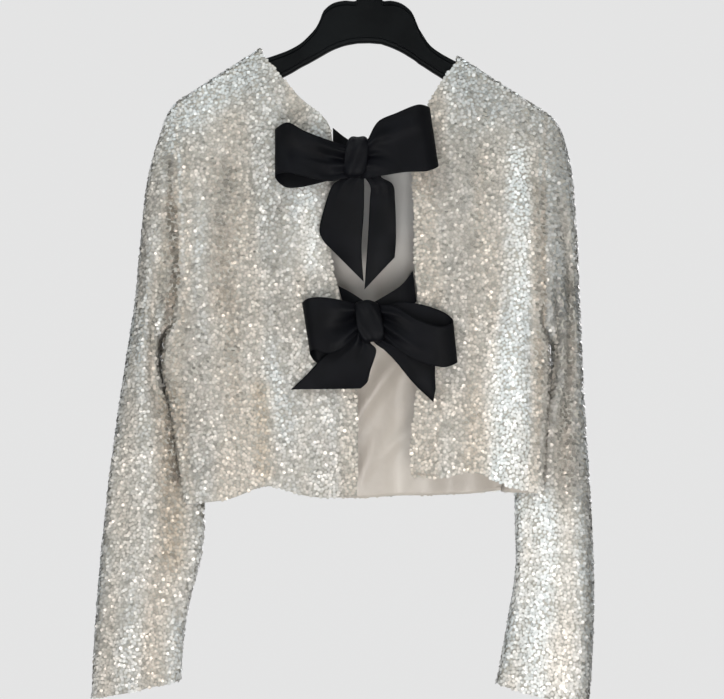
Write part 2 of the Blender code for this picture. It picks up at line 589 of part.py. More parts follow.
def main():
    """Build the jacket, its bows and its hanger."""
    for thing in list(bpy.data.objects):
        bpy.data.objects.remove(thing, do_unlink=True)
    collection = bpy.data.collections.new("sequin_jacket")
    bpy.context.scene.collection.children.link(collection)

    sequins = new_material("sequinned cloth", (0.55, 0.53, 0.47), 0.35)
    satin = new_material("lining satin", (0.60, 0.53, 0.46), 0.45)
    ribbon = new_material("black ribbon", (0.012, 0.013, 0.015), 0.65)
    plastic = new_material("hanger plastic", (0.010, 0.012, 0.013), 0.45)
    metal = new_material("hook metal", (0.70, 0.70, 0.70), 0.25, 1.0)

    left_front = panel_grid(LEFT_FRONT_EDGE, LEFT_SIDE, LEFT_FRONT_FOLDS, LEFT_FRONT_LIFT, -1)
    right_front = panel_grid(RIGHT_FRONT_EDGE, RIGHT_SIDE, RIGHT_FRONT_FOLDS, RIGHT_FRONT_LIFT, -1)
    left_back = panel_grid(LEFT_BACK_EDGE, LEFT_SIDE, BACK_FOLDS, BACK_LIFT, 1)
    right_back = panel_grid(RIGHT_BACK_EDGE, RIGHT_SIDE, BACK_FOLDS, BACK_LIFT, 1)
    left_sleeve = sleeve_grid(left_front, left_back, LEFT_RINGS, LEFT_CREASES)
    right_sleeve = sleeve_grid(right_front, right_back, RIGHT_RINGS, RIGHT_CREASES)

    pieces = {
        "left_front": [(left_front, False)],
        "right_front": [(right_front, True)],
        "back": [(left_back, True), (right_back, False)],
        "left_sleeve": [(left_sleeve, True)],
        "right_sleeve": [(right_sleeve, False)]}
    shell_points, shell_faces = grid_faces([grid for grids in pieces.values() for grid in grids])
    shell_normals = {tuple(np.round(point, 4)): normal for point, normal
                     in zip(shell_points, vertex_normals(shell_points, shell_faces))}
    armholes = {tuple(np.round(point, 4)) for sleeve in (left_sleeve, right_sleeve)
                for point in sleeve[0]}
    for name, grids in pieces.items():
        facing = {"back": 1, "left_front": -1, "right_front": -1}.get(name, 0)
        walled_piece(name, grids, facing, armholes, shell_normals, sequins, collection)

    inside = CLOTH_WALL + LAY_GAP
    rows = slice(len(CREST) + 1, None)
    lining = [(left_back[rows, :FRONT_COLUMNS], True), (right_back[rows, :FRONT_COLUMNS], False)]
    inner_sheet("back_lining", lining, shell_normals, inside, satin, collection)
    inner_sheet("left_front_facing", [(left_front[rows, :FACING_COLUMNS + 1], False)],
                shell_normals, inside, satin, collection)
    inner_sheet("right_front_facing", [(right_front[rows, :FACING_COLUMNS + 1], True)],
                shell_normals, inside, satin, collection)

    add_bows(ribbon, collection)
    add_hanger(plastic, metal, collection)


main()
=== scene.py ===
"""Looks of a sequinned jacket with ribbon bows on its hanger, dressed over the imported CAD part.

The tables repeat the CAD source's named sizes, in millimetres: the origin is the inner crest of
the hanger's hook, +Z is up and the side with the bows faces -Y. Each class builds one
sub-assembly, and each finish is a small frozen class that makes one material.
"""
import itertools
import logging
import math
from dataclasses import dataclass, field
from enum import Enum
from typing import NamedTuple, Optional, Sequence, Union

import bpy
import numpy as np
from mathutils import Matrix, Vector


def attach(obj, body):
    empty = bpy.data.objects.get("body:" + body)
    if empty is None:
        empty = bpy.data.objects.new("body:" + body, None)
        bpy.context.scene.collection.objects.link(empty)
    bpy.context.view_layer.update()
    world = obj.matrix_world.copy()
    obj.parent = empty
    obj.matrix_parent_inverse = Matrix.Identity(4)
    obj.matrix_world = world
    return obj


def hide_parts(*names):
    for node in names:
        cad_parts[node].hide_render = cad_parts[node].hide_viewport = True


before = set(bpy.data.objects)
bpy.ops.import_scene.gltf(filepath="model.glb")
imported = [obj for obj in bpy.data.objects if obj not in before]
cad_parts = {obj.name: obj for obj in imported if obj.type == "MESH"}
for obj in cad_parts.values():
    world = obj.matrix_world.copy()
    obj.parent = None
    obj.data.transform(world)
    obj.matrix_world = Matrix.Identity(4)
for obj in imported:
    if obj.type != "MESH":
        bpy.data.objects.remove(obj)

LOG = logging.getLogger("jacket")
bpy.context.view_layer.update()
BODY = "root"
MM = 0.001

Colour = tuple[float, float, float]
Grid = tuple[np.ndarray, bool]
Value = Union[float, Sequence[float], bpy.types.NodeSocket]


class Slot(Enum):
    """Material slots of the record."""

    SEQUINS = "sequins"
    LINING = "lining"
    RIBBON = "ribbon"
    HANGER = "hanger"
    HOOK = "hook"


class Held(Enum):
    """How a cloth sheet keeps its shape."""

    HUNG = "hung"
    GATHERED = "gathered"
    STRETCHED = "stretched"
    FOLDED = "folded"


class Facing(Enum):
    """Which way along Y a panel faces: towards the camera or away from it."""

    NEAR = -1
    FAR = 1


class Edge(NamedTuple):
    """Free edge of a panel at one section."""

    x: float
    half_depth: float
    z: float


class Side(NamedTuple):
    """Side of the body at one section: the outer fold, and the armhole or side seam."""

    fold_x: float
    fold_depth: float
    fold_z: float
    seam_x: float
    seam_depth: float
    seam_z: float


class Fold(NamedTuple):
    """A hanging fold that stands out from a panel."""

    top_x: float
    hem_x: float
    half_width: float
    top_height: float
    hem_height: float


class Lift(NamedTuple):
    """A place where the hem swings up."""

    x: float
    half_width: float
    height: float


class Ring(NamedTuple):
    """One flattened oval of a sleeve."""

    outer_x: float
    outer_z: float
    inner_x: float
    inner_z: float
    half_depth: float


class Crease(NamedTuple):
    """A crease down a sleeve, at a place round the half ring from 0 (outer) to 1 (inner)."""

    place: float
    half_width: float
    depth: float


class Wrinkle(NamedTuple):
    """A small ridge on a hanging sheet. Its angle runs from vertical towards +X, in degrees."""

    x: float
    z: float
    angle: float
    half_length: float
    half_width: float
    height: float


class Station(NamedTuple):
    """A row across a ribbon: one edge, then the other."""

    x1: float
    z1: float
    y1: float
    x2: float
    z2: float
    y2: float


class Pleat(NamedTuple):
    """A ridge along a ribbon, from one share of its width to another, over a share of its run."""

    start_share: float
    end_share: float
    start: float
    end: float
    half_width: float
    height: float


class PaintedStreak(NamedTuple):
    """A soft streak of painted light and shade, with how much lighter and warmer it paints the
    sequins.
    """

    top_x: float
    top_z: float
    low_x: float
    low_z: float
    half_width: float
    light: float
    warm: float


class Wave(NamedTuple):
    """Cross wrinkles of a sleeve: turns down the arm and round it, phases on, and their share."""

    down: float
    around: float
    phases: float
    share: float


class Arm(NamedTuple):
    """Top and bottom of the hanger at a distance from its middle."""

    x: float
    top: float
    bottom: float


class Cut(NamedTuple):
    """Flat size that a cloth piece was cut to, in metres."""

    width: float
    length: float


# Sizes and tables, millimetres
CLOTH_WALL = 2.0
# How far the lining's last row lies above the hem
LINING_RISE = 3.0
# The fold down a panel's side: its radius, and how far it turns, in degrees
FOLD_RADIUS = 6.0
ROUND_ANGLE = 160
# Behind the fold the cloth runs to a knee and then to the seam
KNEE_DEPTH = 9.0
KNEE_SHARE = 0.45
KNEE_STEPS = (0.25, 0.5, 0.75)
KNEE_END = 0.92
SEAM_STEPS = (0.2, 0.6)
# Hanging folds: the heights between which they grow, the row from which they stand out fully,
# and the distance from the side fold over which they fade
FOLD_TOP_Z = -170
FOLD_HEM_Z = -575
FOLD_START = 1.5
STAND_FADE = 22.0
# How fast a lift of the hem dies away upwards
LIFT_POWER = 6
# Cloth that stands out less than this lies in a valley, and how fast the side becomes one
VALLEY_RISE = 3.6
SEAM_VALLEY = 2.5
# How much wider than its half width a streak of painted light and shade reaches
STREAK_SOFTNESS = 1.3
# Sequins lie no nearer to an edge than this share of a face
RIM_REACH = 0.86
# Rows of the tables
NECK_ROW = 4
UNDERARM_ROW = 8
LAST_ROW = 12
CUFF_ROW = 13
# Sleeves: the rows over which the armhole becomes an oval, how the rings bunch up at the top,
# how square the ovals are, and the height of the small wrinkles
RING_SETTLE = 4.0
RING_SPREAD = 1.15
RING_FULLNESS = 0.85
WAVE_HEIGHT = 0.7
# How far a tail is domed across, and how far above its first row it starts, behind the loops
TAIL_CROWN = 1.5
TAIL_RISE = (0, 8, 1.5)
# How a pleat fades in and out, as shares of the ribbon's run
PLEAT_START_FADE = 0.06
PLEAT_END_FADE = 0.12
# Steps across and along the cloth, finer than the CAD solids
CREST_STEPS = 10
FRONT_COLUMNS = 40
ROUND_STEPS = 12
ARM_STEPS = 48
SIDE_STEPS = 30
SLEEVE_STEPS = 90

# The shoulder's crest from its top, as distance out and down
CREST = [(0, 0), (2.5, 0), (5.2, 0.8), (7.2, 2.8), (8, 6)]
LEFT_FRONT_EDGE = [
    Edge(-112.3, 8, -109.3), Edge(-97, 11, -133), Edge(-71, 14, -163), Edge(-40.8, 17, -193),
    Edge(-40, 20, -245), Edge(-40, 22, -295), Edge(-38, 24, -335), Edge(-30, 25, -368),
    Edge(-20, 26, -405), Edge(-14, 27, -445), Edge(-12, 28, -487), Edge(-12, 29, -530),
    Edge(-13, 29, -573)]
RIGHT_FRONT_EDGE = [
    Edge(91.2, 8, -117.4), Edge(79, 11, -139), Edge(64, 14, -163), Edge(52, 17, -193),
    Edge(44, 20, -240), Edge(46, 22, -290), Edge(46, 24, -332), Edge(50, 25, -370),
    Edge(52, 26, -412), Edge(50, 27, -452), Edge(45, 28, -492), Edge(42, 28, -527),
    Edge(43, 28, -553)]
BACK_MIDDLE = [
    Edge(-8, 20, -232), Edge(-8, 23, -285), Edge(-8, 25, -332), Edge(-8, 27, -372),
    Edge(-8, 28, -412), Edge(-8, 29, -452), Edge(-8, 30, -494), Edge(-8, 30, -538),
    Edge(-8, 30, -580)]
LEFT_BACK_EDGE = [
    Edge(-112.3, 8, -109.3), Edge(-103, 11, -136), Edge(-84, 14, -175), Edge(-52, 17, -212)
] + BACK_MIDDLE
RIGHT_BACK_EDGE = [
    Edge(91.2, 8, -117.4), Edge(83, 11, -143), Edge(66, 14, -178), Edge(36, 17, -212)
] + BACK_MIDDLE
LEFT_SIDE = [
    Side(-199.3, 8, -165, -199.3, 8, -165), Side(-201, 13, -200, -201, 13, -200),
    Side(-202, 18, -232, -202, 18, -232), Side(-200, 22, -268, -200, 22, -268),
    Side(-198, 26, -302, -198, 26, -302), Side(-198, 28, -338, -198, 28, -338),
    Side(-201, 29, -368, -201, 27, -368), Side(-204, 29, -395, -204, 18, -396),
    Side(-211, 29, -414, -205, 0, -411), Side(-212, 30, -446, -189, 0, -440),
    Side(-205, 31, -488, -176, 0, -484), Side(-198, 32, -534, -167, 0, -532),
    Side(-191, 32, -580, -161, 0, -579)]
RIGHT_SIDE = [
    Side(185.3, 8, -178.1, 185.3, 8, -178.1), Side(183, 13, -212, 183, 13, -212),
    Side(182, 18, -243, 182, 18, -243), Side(182, 22, -276, 182, 22, -276),
    Side(181, 26, -308, 181, 26, -308), Side(181, 28, -341, 181, 28, -341),
    Side(181, 29, -371, 181, 27, -371), Side(180, 29, -397, 180, 18, -398),
    Side(184, 29, -416, 178, 0, -413), Side(185, 30, -450, 164, 0, -446),
    Side(183, 31, -492, 154, 0, -490), Side(181, 32, -534, 145, 0, -532),
    Side(179, 32, -570, 139, 0, -571)]
LEFT_FRONT_FOLDS = [Fold(-178, -176, 15, 2, 6), Fold(-103, -88, 18, 5, 4),
                    Fold(-54, -46, 15, 3, 6)]
RIGHT_FRONT_FOLDS = [Fold(95, 84, 15, 5, 4), Fold(156, 144, 16, 3, 8)]
BACK_FOLDS = [Fold(-165, -158, 16, 2, 7), Fold(-112, -104, 18, 4, 3), Fold(-52, -48, 16, 2, 6),
              Fold(36, 32, 18, 2, 6), Fold(92, 84, 16, 3, 5), Fold(148, 136, 16, 3, 7)]
LEFT_FRONT_LIFT = [Lift(-104, 30, 14)]
RIGHT_FRONT_LIFT = [Lift(108, 28, 12)]
BACK_LIFT = [Lift(-104, 30, 17), Lift(92, 44, -2)]
LEFT_RINGS = [
    Ring(-199.3, -165, -205, -411, 26), Ring(-208.4, -177.1, -211.4, -412.4, 26),
    Ring(-217.5, -201.3, -215.5, -414.9, 25), Ring(-229.7, -245.9, -217.5, -420, 24),
    Ring(-236.7, -308.6, -218, -432.1, 23), Ring(-242.8, -371.4, -217, -446.3, 22),
    Ring(-251.9, -430.1, -211.4, -467.5, 21), Ring(-260, -482.7, -194.2, -495.9, 20),
    Ring(-268.1, -541.4, -180.1, -535.3, 20), Ring(-274.2, -592, -173, -581.9, 20),
    Ring(-279.3, -642.6, -175, -632.5, 20), Ring(-283.3, -691.2, -187.2, -681.1, 20),
    Ring(-286.3, -737.8, -194.2, -723.6, 19), Ring(-288.4, -785.3, -197.3, -767.1, 18)]
RIGHT_RINGS = [
    Ring(185.3, -178.1, 178, -413, 26), Ring(193.4, -186.2, 184.3, -414.9, 25),
    Ring(200.5, -200.3, 188.3, -417.9, 24), Ring(209.6, -237.8, 190.4, -422, 23),
    Ring(214.7, -298.5, 190.9, -433.1, 22), Ring(217.7, -365.3, 189.4, -447.3, 20),
    Ring(220.7, -430.1, 184.3, -467.5, 19), Ring(223.8, -490.8, 167.1, -500.9, 18),
    Ring(227.8, -551.5, 153.9, -551.5, 19), Ring(230.9, -602.1, 152.9, -600.1, 22),
    Ring(232.9, -652.8, 153.9, -648.7, 24), Ring(232.9, -703.4, 146.8, -695.3, 24),
    Ring(230.9, -748.9, 139.8, -735.7, 23), Ring(227.8, -793.4, 132.7, -770.2, 22)]
LEFT_CREASES = [Crease(0.63, 0.10, 6.0), Crease(0.28, 0.10, 2.5)]
RIGHT_CREASES = [Crease(0.42, 0.10, 5.0), Crease(0.75, 0.09, 3.0)]
SLEEVE_WAVES = [Wave(3.1, 5, 1, 1.0), Wave(5.3, -7, 2, 0.6)]
HANGER_PROFILE = [
    Arm(-193.2, -166.9, -175), Arm(-190.2, -163.9, -181.1), Arm(-161.8, -144.2, -169),
    Arm(-136.5, -128.1, -156.8), Arm(-111.2, -120.9, -148.7), Arm(-93, -114.8, -140.6),
    Arm(-80.9, -109.8, -134.5), Arm(-70.8, -103.7, -128.5), Arm(-62.7, -96.1, -124.4),
    Arm(-55.6, -88, -120.4), Arm(-51, -78.9, -117.8), Arm(-47.5, -70.3, -115.8),
    Arm(-38.4, -62.7, -110.8), Arm(-26.2, -59.7, -106.2), Arm(-13.6, -59.7, -103.7),
    Arm(-12.5, -50.5, -103.5), Arm(0.1, -49.5, -103.2), Arm(12.6, -50.5, -104.2),
    Arm(13.8, -59.7, -104.7), Arm(22.4, -59.7, -107.7), Arm(33.5, -62.7, -112.8),
    Arm(43.6, -70.8, -118.9), Arm(48.2, -79.9, -121.9), Arm(51.7, -88.5, -124.9),
    Arm(56.8, -97.1, -128), Arm(62.8, -105.7, -132), Arm(70.9, -112.3, -137.1),
    Arm(84.1, -120, -144.7), Arm(111.4, -133.9, -156.8), Arm(136.7, -149.9, -166.9),
    Arm(162, -166.2, -181.1), Arm(176.2, -175.6, -190.2), Arm(179.2, -179.1, -186.2)]

# The hook's wire from the end of its arc to the body, as x and z
HOOK_NECK = [(5.0, -42.2), (1.2, -44.4), (0.0, -47.0), (0.0, -50.2)]

# Painted light and shade on the sequins: soft lighter, darker, warmer and cooler streaks, top to
# bottom
PAINTED_STREAKS: list[PaintedStreak] = [
    PaintedStreak(154, -222, 156, -398, 11, 0.3, -0.4), PaintedStreak(142, -423, 141, -568, 16, 0.42, -0.4),
    PaintedStreak(196, -176, 202, -372, 14, -0.32, -0.1), PaintedStreak(204, -372, 211, -562, 16, -0.5, 0),
    PaintedStreak(175, -259, 178, -552, 5, -0.3, 0.35), PaintedStreak(181, -593, 184, -784, 26, 0.35, -0.5),
    PaintedStreak(226, -578, 227, -784, 6, -0.4, 0), PaintedStreak(95, -217, 85, -403, 16, -0.14, 0.2),
    PaintedStreak(88, -475, 95, -547, 18, 0, 0.4), PaintedStreak(-148, -238, -150, -372, 11, -0.26, 0.2),
    PaintedStreak(-135, -372, -142, -475, 9, -0.16, 0.2), PaintedStreak(-183, -382, -174, -547, 13, -0.2, 0.2),
    PaintedStreak(-110, -465, -105, -547, 8, 0, 0.7), PaintedStreak(-71, -238, -59, -333, 9, 0.26, -0.5),
    PaintedStreak(-206, -226, -203, -280, 3, -0.55, 0.6), PaintedStreak(-198, -350, -214, -418, 4, -0.7, 0.6),
    PaintedStreak(-214, -418, -198, -557, 6, -0.55, 0.5), PaintedStreak(-241, -300, -259, -506, 7, -0.28, -0.2),
    PaintedStreak(-202, -475, -203, -640, 10, -0.1, 0.6), PaintedStreak(-273, -547, -280, -732, 6, -0.32, 0),
    PaintedStreak(-123, -140, -185, -181, 16, 0.1, -0.5), PaintedStreak(93, -145, 165, -184, 16, -0.08, -0.4),
    PaintedStreak(-92, -269, -97, -403, 8, -0.14, 0.2), PaintedStreak(151, -394, 152, -421, 14, -0.12, 0.1),
    PaintedStreak(-226, -259, -236, -403, 12, -0.12, 0), PaintedStreak(-203, -280, -198, -350, 3.5, -0.7, 0.6),
    PaintedStreak(-208, -270, -208, -372, 6, -0.16, 0.5)]

# Ribbons: loops go out along their front, round their end and back behind
LOOPS: dict[str, list[Station]] = {
    "top_bow_left_loop": [
        Station(-25.7, -215.8, -50, -25.7, -250.2, -50), Station(-41.3, -211.6, -55, -42.2, -253, -55),
        Station(-64.6, -203.3, -59, -68.5, -248, -59), Station(-82.3, -194.2, -57, -83.3, -244.5, -57),
        Station(-95.6, -199.5, -46, -95.6, -247.2, -46), Station(-84.8, -193.2, -36, -86.2, -257, -36),
        Station(-65.5, -202, -35, -69.4, -257, -35), Station(-41.6, -211.3, -38, -42.6, -251, -38),
        Station(-25.8, -216.8, -42.4, -25.8, -245.4, -42.4)],
    "top_bow_right_loop": [
        Station(-0.9, -209, -50, -0.9, -249.2, -50), Station(8.7, -192.8, -54, 17.5, -246.7, -54),
        Station(27.2, -184.6, -58, 36.9, -244.2, -58), Station(48.7, -176.2, -57, 58.5, -243.1, -57),
        Station(60.9, -177.9, -46, 69.8, -237, -46), Station(49.5, -175.3, -35, 57.4, -237.7, -35),
        Station(29.7, -183.1, -34, 36.6, -239.6, -34), Station(11.8, -192.5, -38, 17.7, -241, -38),
        Station(-0.9, -210.9, -42.4, -0.9, -244.5, -42.4)],
    "low_bow_left_loop": [
        Station(-14.4, -376.9, -52, -14.4, -409.3, -52), Station(-27.5, -373.2, -58, -26.6, -421, -58),
        Station(-46, -370.4, -62, -41, -427, -62), Station(-61.5, -371.3, -60, -54.5, -423, -60),
        Station(-67.8, -376, -52, -60, -426.5, -52), Station(-61.8, -373, -43, -53, -436.5, -43),
        Station(-46.5, -371.7, -42, -40.6, -432, -42), Station(-27.7, -374.7, -43, -26.7, -412.2, -43),
        Station(-14.4, -379.7, -45, -14.4, -404.3, -45)],
    "low_bow_right_loop": [
        Station(14.1, -377.9, -52, 14.1, -409.3, -52), Station(27.2, -380, -58, 30.1, -423, -58),
        Station(48.5, -392.8, -62, 50.5, -434.7, -62), Station(71, -399.6, -61, 74, -440.6, -60),
        Station(84.2, -394.6, -52, 88.6, -435.7, -52), Station(74.8, -384.5, -43, 74.8, -436.8, -43),
        Station(51.2, -376.6, -41, 49.2, -429.9, -42), Station(28.5, -374.7, -43, 30.5, -413.1, -43),
        Station(14.2, -379.7, -45, 14.2, -404.3, -45)]}
# A tail's first row is wider than its solid's, to close the bow behind the knot
TAILS: dict[str, list[Station]] = {
    "top_bow_left_tail": [
        Station(-24, -248.2, -46, -5.8, -248.2, -46), Station(-37, -255.7, -46, -5.4, -258.6, -46),
        Station(-45.5, -277.1, -43, -5.8, -284, -43), Station(-51, -301.5, -40, -8, -319.4, -42),
        Station(-45.5, -314.3, -40, -6, -353.9, -42)],
    "top_bow_right_tail": [
        Station(-4.6, -248.2, -46, 12, -248.2, -46), Station(0.9, -257.9, -48.5, 23.5, -255.9, -48.5),
        Station(0.5, -270.2, -43, 25.9, -271.1, -43), Station(-1.1, -301.5, -40, 27, -307.6, -42),
        Station(-5, -361.7, -40, 25.6, -329.3, -42)],
    "low_bow_left_tail": [
        Station(-19.5, -410.5, -48.6, 0.8, -416, -48.6), Station(-30, -419.5, -49, 6.8, -424, -50),
        Station(-47.3, -430.9, -47, 0.9, -443.6, -48), Station(-64.1, -448.6, -45, -2.1, -455.5, -47),
        Station(-79.9, -463.4, -44, -9, -462.4, -46)],
    "low_bow_right_tail": [
        Station(4.4, -415.4, -48.6, 19, -408.5, -48.6), Station(15.6, -424, -50, 47, -419.5, -49),
        Station(26.4, -434.8, -47, 64.8, -431.8, -48), Station(45.2, -457.5, -45, 66.3, -448.6, -46),
        Station(64.9, -476.2, -44, 66.9, -462.4, -45)]}
TIES: dict[str, list[Station]] = {
    "top_bow_left_tie": [
        Station(-37.5, -194.2, -17, -37.4, -231.9, -19), Station(-26.9, -204.2, -29, -26.9, -232, -29),
        Station(-14.9, -212.8, -34.4, -14.9, -232.7, -34.4)],
    "top_bow_right_tie": [
        Station(47.1, -209.7, -18, 43, -235.9, -19), Station(17.9, -208.9, -27, 17.9, -233.8, -27),
        Station(-11, -212.8, -34.4, -11, -232.7, -34.4)],
    "low_bow_left_tie": [
        Station(-31.9, -357.2, -24, -24, -388.1, -25), Station(-15.9, -366.4, -33, -13.9, -391.3, -33),
        Station(-1.3, -376.5, -38.4, -1.3, -395.3, -38.4)],
    "low_bow_right_tie": [
        Station(44.4, -342.2, -24, 48.3, -373.2, -25), Station(30.7, -358.5, -32, 36.7, -382.3, -32),
        Station(1.1, -376.5, -38.4, 1.1, -396.3, -38.4)]}
# Ridges and valleys of the ribbons; a loop's front is the first 0.45 of its run
PLEATS: dict[str, list[Pleat]] = {
    "top_bow_left_loop": [
        Pleat(0.22, 0.12, 0, 0.36, 0.08, 3.4), Pleat(0.42, 0.34, 0, 0.30, 0.07, -3.2),
        Pleat(0.60, 0.62, 0, 0.40, 0.08, 3.2), Pleat(0.80, 0.86, 0, 0.26, 0.06, -2.2),
        Pleat(0.55, 0.50, 0.1, 0.5, 0.22, -3.0)],
    "top_bow_right_loop": [
        Pleat(0.14, 0.42, 0, 0.30, 0.08, 4.0), Pleat(0.36, 0.84, 0, 0.26, 0.08, -5.0),
        Pleat(0.62, 0.95, 0, 0.20, 0.06, 2.6), Pleat(0.30, 0.28, 0.12, 0.45, 0.10, 1.8)],
    "low_bow_left_loop": [
        Pleat(0.20, 0.16, 0, 0.38, 0.09, 3.2), Pleat(0.46, 0.60, 0, 0.40, 0.14, -6.0),
        Pleat(0.74, 0.85, 0, 0.34, 0.09, 3.0)],
    "low_bow_right_loop": [
        Pleat(0.24, 0.10, 0, 0.30, 0.07, 3.2), Pleat(0.42, 0.40, 0, 0.28, 0.07, -3.4),
        Pleat(0.62, 0.70, 0, 0.40, 0.08, 3.4), Pleat(0.82, 0.90, 0, 0.26, 0.06, -2.6)],
    "top_bow_left_tail": [
        Pleat(0.35, 0.22, 0, 0.6, 0.08, 1.4), Pleat(0.62, 0.50, 0, 0.5, 0.08, -1.4)],
    "top_bow_right_tail": [
        Pleat(0.40, 0.30, 0, 0.4, 0.08, -1.4), Pleat(0.70, 0.75, 0, 0.5, 0.08, 1.2)],
    "low_bow_left_tail": [
        Pleat(0.40, 0.30, 0, 0.7, 0.09, 1.6), Pleat(0.62, 0.62, 0, 0.8, 0.09, -1.8)],
    "low_bow_right_tail": [
        Pleat(0.40, 0.30, 0, 0.8, 0.09, 1.8), Pleat(0.66, 0.60, 0, 0.7, 0.09, -1.8)]}

# Small ridges that the plain solids leave out
LEFT_FRONT_WRINKLES = [
    Wrinkle(-150, -250, 4, 70, 9, 1.6), Wrinkle(-78, -300, -3, 60, 8, 1.4),
    Wrinkle(-128, -400, 2, 70, 9, 2.0), Wrinkle(-68, -450, 3, 60, 8, 1.8),
    Wrinkle(-120, -190, 35, 30, 8, 1.2), Wrinkle(-150, -480, -6, 50, 9, 1.8)]
RIGHT_FRONT_WRINKLES = [
    Wrinkle(72, -260, 4, 70, 7, 1.6), Wrinkle(126, -250, -2, 70, 8, 1.6),
    Wrinkle(116, -400, 2, 70, 8, 1.6), Wrinkle(62, -470, -4, 50, 7, 1.6),
    Wrinkle(120, -190, -35, 30, 8, 1.2), Wrinkle(158, -470, 5, 60, 8, 1.8)]
BACK_WRINKLES = [
    Wrinkle(-82, -320, 4, 80, 9, 1.6), Wrinkle(8, -420, -3, 90, 9, 1.8),
    Wrinkle(64, -330, 3, 80, 9, 1.6), Wrinkle(118, -450, -3, 70, 9, 1.8),
    Wrinkle(-136, -440, 4, 70, 9, 1.8)]
LINING_WRINKLES = [
    Wrinkle(-14, -300, 14, 70, 9, 3.0), Wrinkle(14, -330, -10, 80, 8, 2.6),
    Wrinkle(28, -440, -38, 60, 8, 5.4), Wrinkle(2, -470, -30, 50, 7, 4.4),
    Wrinkle(30, -520, -50, 34, 6, 4.0), Wrinkle(-2, -540, -20, 30, 6, 3.4),
    Wrinkle(-80, -420, 12, 90, 9, 2.6), Wrinkle(96, -420, -12, 90, 9, 2.6)]


# Shapes
def smooth(value: np.ndarray) -> np.ndarray:
    """Ease from 0 to 1.

    Args:
        value: Any numbers; below 0 counts as 0 and above 1 as 1.

    Returns:
        The eased numbers.
    """
    value = np.clip(value, 0.0, 1.0)
    return value * value * (3 - 2 * value)


def mix(start: np.ndarray, end: np.ndarray, share: np.ndarray) -> np.ndarray:
    """Value part of the way from start to end."""
    return start + (end - start) * share


def along(rows: Sequence, place: float, corner: Optional[int] = None) -> np.ndarray:
    """A table's columns at a row number, on a smooth curve through its rows.

    Args:
        rows: The table.
        place: Row number, which may lie between rows.
        corner: Row where the curve breaks, if any.

    Returns:
        One number for each column.
    """
    table = np.asarray(rows, float)
    if corner is not None and place >= corner:
        table, place = table[corner:], place - corner
    elif corner is not None:
        table = table[:corner + 1]
    last = len(table) - 1
    index = min(int(place), last - 1)
    f = place - index
    a, b = table[max(index - 1, 0)], table[index]
    c, d = table[index + 1], table[min(index + 2, last)]
    return 0.5 * (2 * b + (c - a) * f + (2 * a - 5 * b + 4 * c - d) * f ** 2
                  + (3 * b - a - 3 * c + d) * f ** 3)


def ridge(wrinkles: Sequence[Wrinkle], x: np.ndarray, z: np.ndarray) -> np.ndarray:
    """Height of a sheet's small ridges at places on it.

    Args:
        wrinkles: The ridges.
        x: Places along X.
        z: Places along Z.

    Returns:
        One height for each place.
    """
    height = np.zeros_like(np.asarray(x, float) + z)
    for wrinkle in wrinkles:
        turn = math.radians(wrinkle.angle)
        run = -(z - wrinkle.z) * math.cos(turn) + (x - wrinkle.x) * math.sin(turn)
        off = (x - wrinkle.x) * math.cos(turn) + (z - wrinkle.z) * math.sin(turn)
        height += (wrinkle.height * np.exp(-(off / wrinkle.half_width) ** 2)
                   * np.exp(-(run / wrinkle.half_length) ** 4))
    return height


@dataclass
class Sheet:
    """A surface of quads with outward normals, in millimetres.

    Args:
        points: Its points.
        quads: Four point numbers for each face.
        valley: How deep in a fold's valley each point lies, 0 to 1, if that is known.
    """

    points: np.ndarray
    quads: np.ndarray
    valley: Optional[np.ndarray] = None
    normals: np.ndarray = field(init=False)
    rims: np.ndarray = field(init=False)

    def __post_init__(self) -> None:
        """Work out the normals and the open edges."""
        corners = self.points[self.quads]
        faces = np.cross(corners[:, 2] - corners[:, 0], corners[:, 3] - corners[:, 1])
        normals = np.zeros_like(self.points)
        for corner in range(4):
            np.add.at(normals, self.quads[:, corner], faces)
        self.normals = normals / np.maximum(np.linalg.norm(normals, axis=1, keepdims=True), 1e-9)
        edges = np.concatenate([self.quads[:, [k, (k + 1) % 4]] for k in range(4)])
        keys = np.sort(edges, axis=1)
        _, where, counts = np.unique(keys, axis=0, return_inverse=True, return_counts=True)
        self.rims = edges[counts[where.ravel()] == 1]

    @classmethod
    def from_grids(cls, grids: Sequence[Grid]) -> "Sheet":
        """Weld grids of points into one sheet.

        Args:
            grids: Each grid, rows by columns by 3 or more, and whether its faces are flipped.
                A fourth number is how deep in a fold's valley the point lies, 0 to 1.

        Returns:
            The sheet, with points that coincide made one.
        """
        quads, start = [], 0
        for grid, flipped in grids:
            rows, columns = grid.shape[:2]
            index = np.arange(rows * columns).reshape(rows, columns) + start
            a, b, c, d = index[:-1, :-1], index[:-1, 1:], index[1:, 1:], index[1:, :-1]
            order = (d, c, b, a) if flipped else (a, b, c, d)
            quads.append(np.stack(order, axis=-1).reshape(-1, 4))
            start += rows * columns
        cells = np.concatenate([grid.reshape(-1, grid.shape[2]) for grid, _ in grids])
        _, first, where = np.unique(np.round(cells[:, :3], 3), axis=0, return_index=True,
                                    return_inverse=True)
        valley = cells[first, 3] if cells.shape[1] > 3 else None
        return cls(cells[first, :3], where.ravel()[np.concatenate(quads)], valley)

    def area(self) -> float:
        """Surface of the sheet.

        Returns:
            Its area in square metres.
        """
        corners = self.points[self.quads]
        cross = np.cross(corners[:, 2] - corners[:, 0], corners[:, 3] - corners[:, 1])
        return float(np.linalg.norm(cross, axis=1).sum() / 2) * MM * MM

    def pushed(self, distance: np.ndarray) -> np.ndarray:
        """Points moved along their normals."""
        return self.points + self.normals * np.reshape(distance, (-1, 1))


